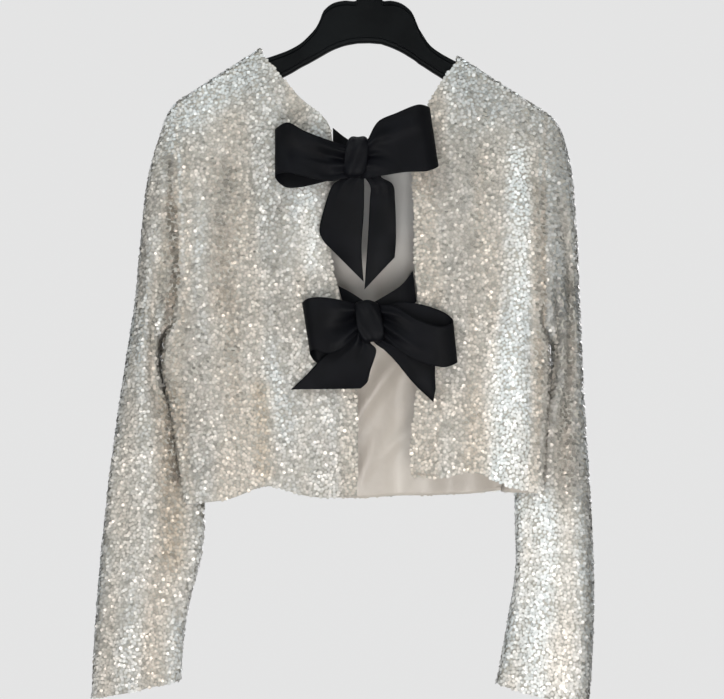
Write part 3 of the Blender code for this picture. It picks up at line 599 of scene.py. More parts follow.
def put_mesh(name: str, points: np.ndarray, faces: np.ndarray,
             materials: Sequence[bpy.types.Material],
             slots: Optional[np.ndarray] = None) -> bpy.types.Object:
    """Make a smooth-shaded mesh object.

    Args:
        name: The piece's name.
        points: Places in millimetres.
        faces: Corners of each face, all of the same count.
        materials: Materials in order.
        slots: Material number of each face.

    Returns:
        The new object, linked to the scene.
    """
    mesh = bpy.data.meshes.new(name)
    mesh.from_pydata((points * MM).tolist(), [], faces.tolist())
    for material in materials:
        mesh.materials.append(material)
    if slots is not None:
        mesh.polygons.foreach_set("material_index", slots.astype(np.int32))
    mesh.shade_smooth()
    mesh.update()
    piece = bpy.data.objects.new(name, mesh)
    bpy.context.scene.collection.objects.link(piece)
    return piece


def put_walled(name: str, sheet: Sheet, outer: np.ndarray, inner: np.ndarray,
               materials: Sequence[bpy.types.Material]) -> bpy.types.Object:
    """Make a cloth piece with a wall: outer face, inner face and rim.

    Args:
        name: The piece's name.
        sheet: Surface that gives the faces.
        outer: How far the outer face stands from the sheet, a number or one for each point.
        inner: The same for the inner face.
        materials: Material of the outer face, and of the inner face if it differs.

    Returns:
        The new object.
    """
    count = len(sheet.points)
    points = np.concatenate([sheet.pushed(outer * np.ones(count)),
                             sheet.pushed(inner * np.ones(count))])
    rim = np.column_stack([sheet.rims[:, 1], sheet.rims[:, 0],
                           sheet.rims[:, 0] + count, sheet.rims[:, 1] + count])
    faces = np.concatenate([sheet.quads, sheet.quads[:, ::-1] + count, rim])
    slots = np.zeros(len(faces))
    if len(materials) > 1:
        slots[len(sheet.quads):2 * len(sheet.quads)] = 1
    return put_mesh(name, points, faces, materials, slots)


def declare(piece: bpy.types.Object, slot: Slot, *nodes: str) -> bpy.types.Object:
    """Let a piece ride on the body and stand for its CAD nodes, which it hides.

    Args:
        piece: The piece.
        slot: Not used.
        *nodes: Names of the CAD nodes that it replaces.

    Returns:
        The same piece.
    """
    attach(piece, BODY)
    if nodes:
        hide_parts(*nodes)
    return piece


def declare_cloth(piece: bpy.types.Object, slot: Slot, node: str,
                  sheet: Sheet) -> bpy.types.Object:
    """Declare a piece of cloth that hangs from the hanger, and log its area.

    Args:
        piece: The piece.
        slot: Its material slot.
        node: CAD node that it replaces.
        sheet: Its surface.

    Returns:
        The same piece.
    """
    declare(piece, slot, node)
    LOG.info("%s: %.4f square metres", node, sheet.area())
    return piece


# Node helpers and shared effects
class Tree:
    """A short way to write a node tree."""

    def __init__(self, tree: bpy.types.NodeTree) -> None:
        """Keep the tree that is written."""
        self.tree = tree

    def add(self, kind: str, inputs: Optional[dict] = None,
            **settings: object) -> bpy.types.Node:
        """Add a node.

        Args:
            kind: Node type without its ShaderNode prefix.
            inputs: A value or an output socket for each named or numbered input.
            **settings: Properties of the node.

        Returns:
            The node.
        """
        node = self.tree.nodes.new("ShaderNode" + kind)
        for name, value in settings.items():
            setattr(node, name, value)
        for name, value in (inputs or {}).items():
            self.put(node.inputs[name], value)
        return node

    def put(self, socket: bpy.types.NodeSocket, value: Value) -> None:
        """Set an input, or link an output to it.

        Args:
            socket: The input.
            value: A value or an output socket.
        """
        if isinstance(value, bpy.types.NodeSocket):
            self.tree.links.new(value, socket)
        else:
            socket.default_value = value

    def maths(self, operation: str, *values: Value) -> bpy.types.NodeSocket:
        """A Math node's output."""
        return self.add("Math", dict(enumerate(values)), operation=operation).outputs[0]

    def span(self, value: Value, low: float, high: float, start: float = 0.0,
             end: float = 1.0) -> bpy.types.NodeSocket:
        """A value mapped from start..end to low..high, and kept there."""
        node = self.add("MapRange", {0: value, 1: start, 2: end, 3: low, 4: high})
        return node.outputs[0]

    def blend(self, share: Value, first: Value, second: Value) -> bpy.types.NodeSocket:
        """Two colours mixed.

        Args:
            share: How much of the second colour shows, 0 to 1.
            first: Colour at 0.
            second: Colour at 1.

        Returns:
            The mixed colour's socket.
        """
        node = self.add("Mix", data_type="RGBA", blend_type="MIX")
        for number, value in ((0, share), (6, first), (7, second)):
            self.put(node.inputs[number], value)
        return node.outputs[2]

    def ramp(self, value: Value,
             stops: Sequence[tuple[float, Colour]]) -> bpy.types.NodeSocket:
        """A colour ramp's output.

        Args:
            value: What the ramp reads, 0 to 1.
            stops: Place and colour of each stop.

        Returns:
            The colour's socket.
        """
        node = self.add("ValToRGB", {0: value})
        while len(node.color_ramp.elements) < len(stops):
            node.color_ramp.elements.new(0.5)
        for element, (place, colour) in zip(node.color_ramp.elements, stops):
            element.position, element.color = place, (*colour, 1.0)
        return node.outputs[0]

    def place(self) -> bpy.types.NodeSocket:
        """Object coordinates, in metres."""
        return self.add("TexCoord").outputs["Object"]


def new_group(name: str, inputs: dict, outputs: dict) -> tuple[Tree, dict, bpy.types.Node]:
    """Start a shader node group.

    Args:
        name: The group's name.
        inputs: Socket type of each input, and its default value.
        outputs: Socket type of each output.

    Returns:
        The group's tree, its inputs by name, and its output node.
    """
    tree = bpy.data.node_groups.new(name, "ShaderNodeTree")
    for label, (kind, value) in inputs.items():
        socket = tree.interface.new_socket(name=label, in_out="INPUT",
                                           socket_type="NodeSocket" + kind)
        if value is not None:
            socket.default_value = value
    for label, kind in outputs.items():
        tree.interface.new_socket(name=label, in_out="OUTPUT", socket_type="NodeSocket" + kind)
    source = tree.nodes.new("NodeGroupInput")
    target = tree.nodes.new("NodeGroupOutput")
    return Tree(tree), {label: source.outputs[label] for label in inputs}, target


@dataclass
class Effects:
    """Node groups that several materials use."""

    drift: bpy.types.NodeTree = field(init=False)
    weave: bpy.types.NodeTree = field(init=False)

    def __post_init__(self) -> None:
        """Make both groups."""
        self.drift = self.make_drift()
        self.weave = self.make_weave()

    @staticmethod
    def make_drift() -> bpy.types.NodeTree:
        """Slow change from one colour to another over the surface, with fine speckle.

        Returns:
            The node group.
        """
        tree, inputs, target = new_group(
            "tone_drift",
            {"Place": ("Vector", None), "First": ("Color", (1, 1, 1, 1)),
             "Second": ("Color", (0, 0, 0, 1)), "Scale": ("Float", 10.0),
             "Speckle": ("Float", 0.1)}, {"Color": "Color", "Share": "Float"})
        slow = tree.add("TexNoise", {"Vector": inputs["Place"], "Scale": inputs["Scale"],
                                     "Detail": 3.0, "Roughness": 0.55})
        share = tree.span(slow.outputs["Fac"], 0.0, 1.0, start=0.34, end=0.66)
        fine = tree.add("TexNoise", {"Vector": inputs["Place"], "Scale": 900.0, "Detail": 2.0})
        speck = tree.maths("MULTIPLY", tree.maths("SUBTRACT", fine.outputs["Fac"], 0.5),
                           inputs["Speckle"])
        shown = tree.maths("ADD", share, speck)
        tree.tree.links.new(tree.blend(shown, inputs["First"], inputs["Second"]),
                            target.inputs["Color"])
        tree.tree.links.new(share, target.inputs["Share"])
        return tree.tree

    @staticmethod
    def make_weave() -> bpy.types.NodeTree:
        """Height of a plain weave: threads along X and Z that pass over each other.

        Returns:
            The node group.
        """
        tree, inputs, target = new_group(
            "weave_height", {"Place": ("Vector", None), "Threads": ("Float", 900.0)},
            {"Height": "Float"})
        parts = tree.add("SeparateXYZ", {0: inputs["Place"]})
        waves = []
        for axis in (0, 2):
            turn = tree.maths("MULTIPLY", parts.outputs[axis], inputs["Threads"])
            waves.append(tree.maths("SINE", turn))
        height = tree.maths("MULTIPLY_ADD", waves[0], waves[1], 0.0)
        loose = tree.add("TexNoise", {"Vector": inputs["Place"], "Scale": 350.0, "Detail": 3.0})
        total = tree.maths("MULTIPLY_ADD", height, 0.35, loose.outputs["Fac"])
        tree.tree.links.new(total, target.inputs["Height"])
        return tree.tree


def start_material(name: str,
                   **uniform: float) -> tuple[bpy.types.Material, Tree, bpy.types.Node]:
    """A material with a Principled shader.

    Args:
        name: The material's name.
        **uniform: Values set on the shader's own sockets; underscores stand for spaces.

    Returns:
        The material, its tree and its shader.
    """
    material = bpy.data.materials.new(name)
    material.use_nodes = True
    tree = Tree(material.node_tree)
    shader = material.node_tree.nodes["Principled BSDF"]
    for label, value in uniform.items():
        shader.inputs[label.replace("_", " ").title().replace("Ior", "IOR")].default_value = value
    return material, tree, shader


def put_group(tree: Tree, group: bpy.types.NodeTree, **inputs: Value) -> bpy.types.Node:
    """Add a shared effect to a material.

    Args:
        tree: The material's tree.
        group: The effect.
        **inputs: A value or an output socket for each of the effect's inputs.

    Returns:
        The group's node.
    """
    node = tree.add("Group", node_tree=group)
    for label, value in inputs.items():
        tree.put(node.inputs[label], value)
    return node


def put_bump(tree: Tree, shader: bpy.types.Node, height: Value, strength: float,
             distance: float) -> None:
    """Drive the shader's normal by a height.

    Args:
        tree: The material's tree.
        shader: Its Principled shader.
        height: The height's socket.
        strength: Of the relief, 0 to 1.
        distance: Height in metres that 1 stands for.
    """
    bump = tree.add("Bump", {"Height": height, "Strength": strength, "Distance": distance})
    tree.put(shader.inputs["Normal"], bump.outputs["Normal"])


# Finishes
@dataclass(frozen=True)
class SequinFinish:
    """Pearly sequins: each has its own tone, and the cloth drifts from cool to warm.

    Painted light and shade lie over them: lighter, darker, warmer and cooler streaks, painted warm
    shade in the folds' valleys, and painted shade at each sequin's edge.

    Args:
        cool: The usual colour.
        warm: Where the cloth drifts warm, and where the painted streaks and painted fold shade warm
            it.
        painted_shade_gold: Painted shade in folds and warm painted streaks.
        dull: Painted shade of the sequins that their random tone turns from the light.
        rim_shade: How much of its colour a sequin keeps under the painted shade at its edge.
        darkest_painted_shade: Share of its colour under the deepest painted shade.
        brightest_painted_light: Share of its colour under the strongest painted light.
    """

    cool: Colour = (0.71, 0.73, 0.725)
    warm: Colour = (0.73, 0.69, 0.64)
    painted_shade_gold: Colour = (0.60, 0.50, 0.39)
    dull: Colour = (0.38, 0.365, 0.33)
    rim_shade: float = 0.8
    darkest_painted_shade: float = 0.38
    brightest_painted_light: float = 1.22

    def build(self, effects: Effects) -> bpy.types.Material:
        """Make the material.

        Args:
            effects: The shared node groups.

        Returns:
            The material.
        """
        material, tree, shader = start_material(
            "pearl sequins", metallic=0.15, coat_weight=0.25, coat_roughness=0.16,
            thin_film_thickness=420.0, thin_film_ior=1.42)
        tone, light, warm, rim = (tree.add("Attribute", attribute_name=label).outputs["Fac"]
                                  for label in ("tone", "light", "warm", "rim"))
        place = tree.add("Mapping", {"Vector": tree.place(), "Scale": (1.0, 1.0, 0.4)})
        drift = put_group(tree, effects.drift, Place=place.outputs[0], First=(*self.cool, 1),
                          Second=(*self.warm, 1), Scale=24.0, Speckle=0.8)
        # Painted warm shade in folds' valleys and the warm painted streaks push the colour warm, then
        # towards the painted shade gold.
        share = tree.span(tree.maths("ADD", drift.outputs["Share"], warm), 0.0, 1.0)
        mild = tree.blend(share, (*self.cool, 1), (*self.warm, 1))
        deep = tree.blend(tree.span(warm, 0.0, 0.8), mild, (*self.painted_shade_gold, 1))
        # Painted shade: a low tone turns a sequin dull, and painted light streaks make it less dull.
        dull = tree.maths("SUBTRACT", tree.span(tone, 0.75, 0.0, end=0.6),
                          tree.span(light, 0.0, 0.6, end=0.4))
        own = tree.blend(dull, deep, (*self.dull, 1))
        # Painted shade between overlapping sequins: each darkens towards its edge.
        edge = tree.span(rim, 1.0, self.rim_shade, start=0.7)
        # Painted light and shade: the streaks scale each sequin's colour up under painted light and
        # down under painted shade.
        streak = tree.span(light, self.darkest_painted_shade, self.brightest_painted_light, start=-0.6, end=0.3)
        lit = tree.add("VectorMath", {0: own, 3: tree.maths("MULTIPLY", edge, streak)},
                       operation="SCALE")
        tree.put(shader.inputs["Base Color"], lit.outputs[0])
        tree.put(shader.inputs["Roughness"], tree.span(tone, 0.55, 0.3))
        return material


@dataclass(frozen=True)
class BackingFinish:
    """Cream knit that the sequins are sewn to."""

    light: Colour = (0.50, 0.48, 0.43)
    dark: Colour = (0.37, 0.355, 0.31)

    def build(self, effects: Effects) -> bpy.types.Material:
        """Make the material.

        Args:
            effects: The shared node groups.

        Returns:
            The material.
        """
        material, tree, shader = start_material("sequin backing", roughness=0.75)
        place = tree.place()
        drift = put_group(tree, effects.drift, Place=place, First=(*self.light, 1),
                          Second=(*self.dark, 1), Scale=14.0, Speckle=0.8)
        tree.put(shader.inputs["Base Color"], drift.outputs["Color"])
        weave = put_group(tree, effects.weave, Place=place, Threads=3000.0)
        put_bump(tree, shader, weave.outputs["Height"], strength=0.5, distance=0.0004)
        return material


@dataclass(frozen=True)
class SatinFinish:
    """Cream lining satin: a fine weave, soft crumples, a low sheen and painted shade near the neck."""

    name: str = "lining satin"
    light: Colour = (0.56, 0.51, 0.455)
    dark: Colour = (0.49, 0.445, 0.395)
    painted_shade_grey: Colour = (0.34, 0.34, 0.335)

    def build(self, effects: Effects) -> bpy.types.Material:
        """Make the material.

        Args:
            effects: The shared node groups.

        Returns:
            The material.
        """
        material, tree, shader = start_material(
            self.name, roughness=0.42, sheen_weight=0.15, sheen_roughness=0.4)
        place = tree.place()
        drift = put_group(tree, effects.drift, Place=place, First=(*self.light, 1),
                          Second=(*self.dark, 1), Scale=9.0, Speckle=0.15)
        # Painted shade: the satin turns grey and dark towards the neck, from z -0.40 m upwards.
        height = tree.add("SeparateXYZ", {0: place}).outputs[2]
        shaded = tree.blend(tree.span(height, 0.0, 0.85, start=-0.40, end=-0.285),
                            drift.outputs["Color"], (*self.painted_shade_grey, 1))
        tree.put(shader.inputs["Base Color"], shaded)
        weave = put_group(tree, effects.weave, Place=place, Threads=5200.0)
        soft = tree.add("TexNoise", {"Vector": place, "Scale": 42.0, "Detail": 2.0})
        relief = tree.maths("MULTIPLY_ADD", weave.outputs["Height"], 0.05, soft.outputs["Fac"])
        put_bump(tree, shader, relief, strength=0.35, distance=0.004)
        return material


@dataclass(frozen=True)
class RibbonFinish:
    """Black ribbon with fine cross ribs and a woven edge."""

    light: Colour = (0.0040, 0.0042, 0.0058)
    dark: Colour = (0.0020, 0.0022, 0.0030)
    ribs_per_metre: float = 1300.0

    def build(self, effects: Effects) -> bpy.types.Material:
        """Make the material.

        Args:
            effects: The shared node groups.

        Returns:
            The material.
        """
        material, tree, shader = start_material(
            "black ribbon", roughness=0.5, specular_ior_level=0.09)
        place = tree.place()
        drift = put_group(tree, effects.drift, Place=place, First=(*self.light, 1),
                          Second=(*self.dark, 1), Scale=30.0, Speckle=0.6)
        tree.put(shader.inputs["Base Color"], drift.outputs["Color"])
        run = tree.add("UVMap", uv_map="run").outputs["UV"]
        length = tree.add("SeparateXYZ", {0: run}).outputs[0]
        ribs = tree.maths("SINE", tree.maths("MULTIPLY", length,
                                             self.ribs_per_metre * 2 * math.pi))
        tree.put(shader.inputs["Roughness"], tree.span(ribs, 0.38, 0.52, start=-1.0))
        put_bump(tree, shader, ribs, strength=0.35, distance=0.0002)
        return material


@dataclass(frozen=True)
class PlasticFinish:
    """Black moulded plastic with a fine grain and faint rub marks."""

    light: Colour = (0.005, 0.006, 0.0065)
    dark: Colour = (0.0025, 0.003, 0.0033)

    def build(self, effects: Effects) -> bpy.types.Material:
        """Make the material.

        Args:
            effects: The shared node groups.

        Returns:
            The material.
        """
        material, tree, shader = start_material("hanger plastic", roughness=0.4,
                                               specular_ior_level=0.06)
        place = tree.place()
        drift = put_group(tree, effects.drift, Place=place, First=(*self.dark, 1),
                          Second=(*self.light, 1), Scale=16.0, Speckle=0.5)
        tree.put(shader.inputs["Base Color"], drift.outputs["Color"])
        tree.put(shader.inputs["Roughness"], tree.span(drift.outputs["Share"], 0.36, 0.5))
        grain = tree.add("TexNoise", {"Vector": place, "Scale": 1400.0, "Detail": 2.0})
        put_bump(tree, shader, grain.outputs["Fac"], strength=0.15, distance=0.0003)
        return material


@dataclass(frozen=True)
class HookFinish:
    """Bright drawn wire with faint draw marks."""

    colour: Colour = (0.72, 0.72, 0.72)
    dark: Colour = (0.6, 0.6, 0.6)

    def build(self, effects: Effects) -> bpy.types.Material:
        """Make the material.

        Args:
            effects: The shared node groups.

        Returns:
            The material.
        """
        material, tree, shader = start_material("hook wire", metallic=1.0)
        place = tree.place()
        drift = put_group(tree, effects.drift, Place=place, First=(*self.colour, 1),
                          Second=(*self.dark, 1), Scale=60.0, Speckle=0.2)
        tree.put(shader.inputs["Base Color"], drift.outputs["Color"])
        marks = tree.add("TexNoise", {"Vector": place, "Scale": 500.0, "Detail": 4.0})
        tree.put(shader.inputs["Roughness"], tree.span(marks.outputs["Fac"], 0.16, 0.30))
        put_bump(tree, shader, marks.outputs["Fac"], strength=0.08, distance=0.0002)
        return material


@dataclass(frozen=True)
class StageFinish:
    """Pale, even backdrop.

    Args:
        colour: Under the glow.
        grain: How much darker its grain is.
        glow: Strength of its own light.
    """

    colour: Colour = (0.08, 0.08, 0.08)
    grain: float = 0.99
    glow: float = 0.745

    def build(self) -> bpy.types.Material:
        """Make the material.

        Returns:
            The material.
        """
        material, tree, shader = start_material(
            "pale backdrop", roughness=0.9, specular_ior_level=0.1,
            emission_strength=self.glow)
        fine = tree.add("TexNoise", {"Vector": tree.place(), "Scale": 30.0})
        colour = tree.ramp(fine.outputs["Fac"], [(0.0, tuple(c * self.grain for c in self.colour)),
                                                 (1.0, self.colour)])
        tree.put(shader.inputs["Base Color"], colour)
        shader.inputs["Emission Color"].default_value = (1, 1, 1, 1)
        return material


@dataclass
class Finishes:
    """Every material of the jacket and its hanger."""

    effects: Effects = field(default_factory=Effects)
    sequins: bpy.types.Material = field(init=False)
    backing: bpy.types.Material = field(init=False)
    satin: bpy.types.Material = field(init=False)
    ribbon: bpy.types.Material = field(init=False)
    plastic: bpy.types.Material = field(init=False)
    hook: bpy.types.Material = field(init=False)

    def __post_init__(self) -> None:
        """Make them all."""
        self.sequins = SequinFinish().build(self.effects)
        self.backing = BackingFinish().build(self.effects)
        self.satin = SatinFinish().build(self.effects)
        self.ribbon = RibbonFinish().build(self.effects)
        self.plastic = PlasticFinish().build(self.effects)
        self.hook = HookFinish().build(self.effects)


# Panels and sleeves
@dataclass
class Panel:
    """One hanging panel, from its shoulder crest to its hem.

    Args:
        edge: Free edge table.
        side: Side table.
        folds: Large hanging folds.
        lifts: Hem lifts.
        wrinkles: Small ridges.
        facing: Towards the side with the bows or away from it.
    """

    edge: list[Edge]
    side: list[Side]
    folds: list[Fold]
    lifts: list[Lift]
    wrinkles: list[Wrinkle]
    facing: Facing

    def turn(self, start: np.ndarray, end: np.ndarray, outward: float) -> np.ndarray:
        """Round the side fold and in to the seam.

        Args:
            start: Where the fold begins, as x and depth.
            end: The seam, as x and depth.
            outward: 1 if the side lies towards +X, else -1.

        Returns:
            The points, as x and depth.
        """
        points = []
        for step in range(ROUND_STEPS + 1):
            angle = math.radians(ROUND_ANGLE * step / ROUND_STEPS)
            points.append(start + FOLD_RADIUS * np.array((outward * math.sin(angle),
                                                          math.cos(angle) - 1)))
        last = points[-1]
        rise = min(KNEE_DEPTH, KNEE_SHARE * max(last[1] - end[1], 0.0))
        knee = np.array((end[0], end[1] + rise))
        points += [mix(last, knee, share) for share in KNEE_STEPS]
        points += [mix(mix(last, knee, KNEE_END), end, share) for share in SEAM_STEPS]
        return np.array(points + [end])

    def stand(self, x: np.ndarray, z: np.ndarray) -> np.ndarray:
        """How far the folds and ridges stand out.

        Args:
            x: Places along X.
            z: Places along Z.

        Returns:
            One distance for each place.
        """
        down = smooth((FOLD_TOP_Z - z) / (FOLD_TOP_Z - FOLD_HEM_Z))
        total = ridge(self.wrinkles, x, z)
        for fold in self.folds:
            rise = mix(fold.top_height, fold.hem_height, down)
            middle = mix(fold.top_x, fold.hem_x, down)
            total += rise * np.exp(-((x - middle) / fold.half_width) ** 2)
        return total

    def section(self, place: float, edge_rows: list[Edge],
                side_rows: list[Side]) -> np.ndarray:
        """Points across the panel at a section, from the free edge to the seam.

        Args:
            place: Row number of the tables, which may lie between rows.
            edge_rows: The free edge.
            side_rows: The side.

        Returns:
            For each point its x, depth and z, and how deep in a valley it lies.
        """
        edge_x, edge_depth, edge_z = along(edge_rows, place, NECK_ROW)
        fold_x, fold_depth, fold_z, seam_x, seam_depth, seam_z = along(side_rows, place)
        if place >= UNDERARM_ROW:
            seam_depth = 0.0
        outward = math.copysign(1.0, side_rows[0].fold_x)
        start_x = fold_x - outward * FOLD_RADIUS
        start_z = mix(edge_z, fold_z, (start_x - edge_x) / (fold_x - edge_x))
        share = np.arange(FRONT_COLUMNS) / FRONT_COLUMNS
        x, z = mix(edge_x, start_x, share), mix(edge_z, start_z, share)
        stand = self.stand(x, z)
        stand *= smooth(place / FOLD_START) * smooth(abs(x - start_x) / STAND_FADE)
        valley = smooth(1 - stand / VALLEY_RISE) * smooth(place / FOLD_START)
        for lift in self.lifts:
            z = z + (lift.height * np.exp(-((x - lift.x) / lift.half_width) ** 2)
                     * (place / LAST_ROW) ** LIFT_POWER)
        front = np.column_stack([x, mix(edge_depth, fold_depth, smooth(share)) + stand, z,
                                 valley])
        turned = smooth((fold_depth - max(seam_depth, 0.0)) / fold_depth)
        start, end = np.array((start_x, fold_depth)), np.array((seam_x, max(seam_depth, 0.0)))
        bent = self.turn(start, end, outward)
        run = np.linspace(0, 1, len(bent))[:, None]
        flat = mix(mix(start, end, run), bent, turned)
        side = np.column_stack([flat, mix(start_z, seam_z, run[:, 0]),
                                smooth(run[:, 0] * SEAM_VALLEY)])
        return np.concatenate([front, side])

    def grid(self) -> np.ndarray:
        """The whole outer surface.

        Returns:
            Rows of points from the shoulder to the hem.
        """
        drop = CREST[-1][1]
        edges = [self.edge[0]._replace(z=self.edge[0].z - drop)] + self.edge[1:]
        sides = [self.side[0]._replace(fold_z=self.side[0].fold_z - drop,
                                       seam_z=self.side[0].seam_z - drop)] + self.side[1:]
        places = [UNDERARM_ROW * step / ARM_STEPS for step in range(ARM_STEPS + 1)]
        places += [UNDERARM_ROW + (LAST_ROW - UNDERARM_ROW) * step / SIDE_STEPS
                   for step in range(1, SIDE_STEPS + 1)]
        sections = [self.section(place, edges, sides) for place in places]
        crest = []
        for step in range(CREST_STEPS):
            out, fall = along(CREST, (len(CREST) - 1) * step / CREST_STEPS)
            row = sections[0].copy()
            row[:, 1] = out
            row[:, 2] += drop - fall
            crest.append(row)
        grid = np.array(crest + sections)
        grid[:, :, 1] *= self.facing.value
        return grid


@dataclass
class Sleeve:
    """A sleeve whose first ring is the armhole that two panels leave open.

    Args:
        near: Grid of the panel on the side with the bows.
        far: Grid of the other panel.
        rings: Ovals down the arm.
        creases: Creases down the arm.
        phase: Where the small cross wrinkles start.
    """

    near: np.ndarray
    far: np.ndarray
    rings: list[Ring]
    creases: list[Crease]
    phase: float

    def wrinkled(self, depth: np.ndarray, around: np.ndarray, place: float,
                 settled: float) -> tuple[np.ndarray, np.ndarray]:
        """Press the creases and small wrinkles into a ring.

        Args:
            depth: Depth of each point of the plain ring.
            around: Place of each point round the half ring, from 0 (outer) to 1 (inner).
            place: Row number of the ring.
            settled: How far the armhole has become an oval, 0 to 1.

        Returns:
            The new depths, and how deep in a crease each point lies.
        """
        valley = np.zeros(len(around))
        for crease in self.creases:
            dent = crease.depth * np.exp(-((around - crease.place) / crease.half_width) ** 2)
            depth = depth - np.where(abs(depth) > 1, np.sign(depth) * dent * settled, 0.0)
            valley += dent / VALLEY_RISE * settled
        waves = sum(wave.share * np.sin(place * wave.down + around * wave.around
                                        + wave.phases * self.phase)
                    for wave in SLEEVE_WAVES)
        depth = depth + (np.sign(depth) * waves * WAVE_HEIGHT * settled
                         * np.sin(around * math.pi) ** 2)
        return depth, np.minimum(valley, 1)

    def grid(self) -> np.ndarray:
        """The whole outer surface.

        Returns:
            Rings of points from the armhole to the cuff.
        """
        last = CREST_STEPS + ARM_STEPS
        half = self.near[:last + 1, -1, :3]
        first = np.concatenate([half, self.far[last - 1:0:-1, -1, :3]])
        run = np.concatenate([[0], np.cumsum(np.linalg.norm(np.diff(half, axis=0), axis=1))])
        turn = math.pi * mix(run / run[-1], np.arange(last + 1) / last, 0.5)
        angles = np.concatenate([turn, 2 * math.pi - turn[last - 1:0:-1]])
        outer = first[0, [0, 2]]
        axis = first[last, [0, 2]] - outer
        length = np.linalg.norm(axis)
        across = np.array((-axis[1], axis[0])) / length
        offset = first[:, [0, 2]] - outer
        around = 1 - abs(1 - angles / math.pi)
        side = np.sign(np.sin(angles))
        grid = []
        for step in range(SLEEVE_STEPS + 1):
            place = CUFF_ROW * (step / SLEEVE_STEPS) ** RING_SPREAD
            outer_x, outer_z, inner_x, inner_z, half_depth = along(self.rings, place)
            ring_outer = np.array((outer_x, outer_z))
            ring_axis = np.array((inner_x, inner_z)) - ring_outer
            ring_across = np.array((-ring_axis[1], ring_axis[0])) / np.linalg.norm(ring_axis)
            settled = smooth(place / RING_SETTLE)
            share = mix(offset @ axis / length ** 2, (1 - np.cos(angles)) / 2, settled)
            bow = (offset @ across) * (1 - settled)
            flat = ring_outer + share[:, None] * ring_axis + bow[:, None] * ring_across
            rounded = -half_depth * side * abs(np.sin(angles)) ** RING_FULLNESS
            depth, valley = self.wrinkled(mix(first[:, 1], rounded, settled), around, place,
                                          settled)
            grid.append(np.column_stack([flat[:, 0], depth, flat[:, 1], valley]))
        rings = np.array(grid)
        return np.concatenate([rings, rings[:, :1]], axis=1)


def painted_streaks(points: np.ndarray) -> tuple[np.ndarray, np.ndarray]:
    """How much lighter and warmer the streaks of painted light and shade make the sequins.

    Args:
        points: Middles of the sequins.

    Returns:
        One number for each sequin's painted lightness, below 0 for painted shade, and one for its
        warmth.
    """
    light, warm = np.zeros(len(points)), np.zeros(len(points))
    for streak in PAINTED_STREAKS:
        top = np.array((streak.top_x, streak.top_z), float)
        step = np.array((streak.low_x, streak.low_z)) - top
        near = points[:, [0, 2]] - top
        share = np.clip(near @ step / (step @ step), 0, 1)
        away = np.linalg.norm(near - share[:, None] * step, axis=1)
        pull = np.exp(-(away / streak.half_width / STREAK_SOFTNESS) ** 2)
        light += streak.light * pull
        warm += streak.warm * pull
    return light, warm


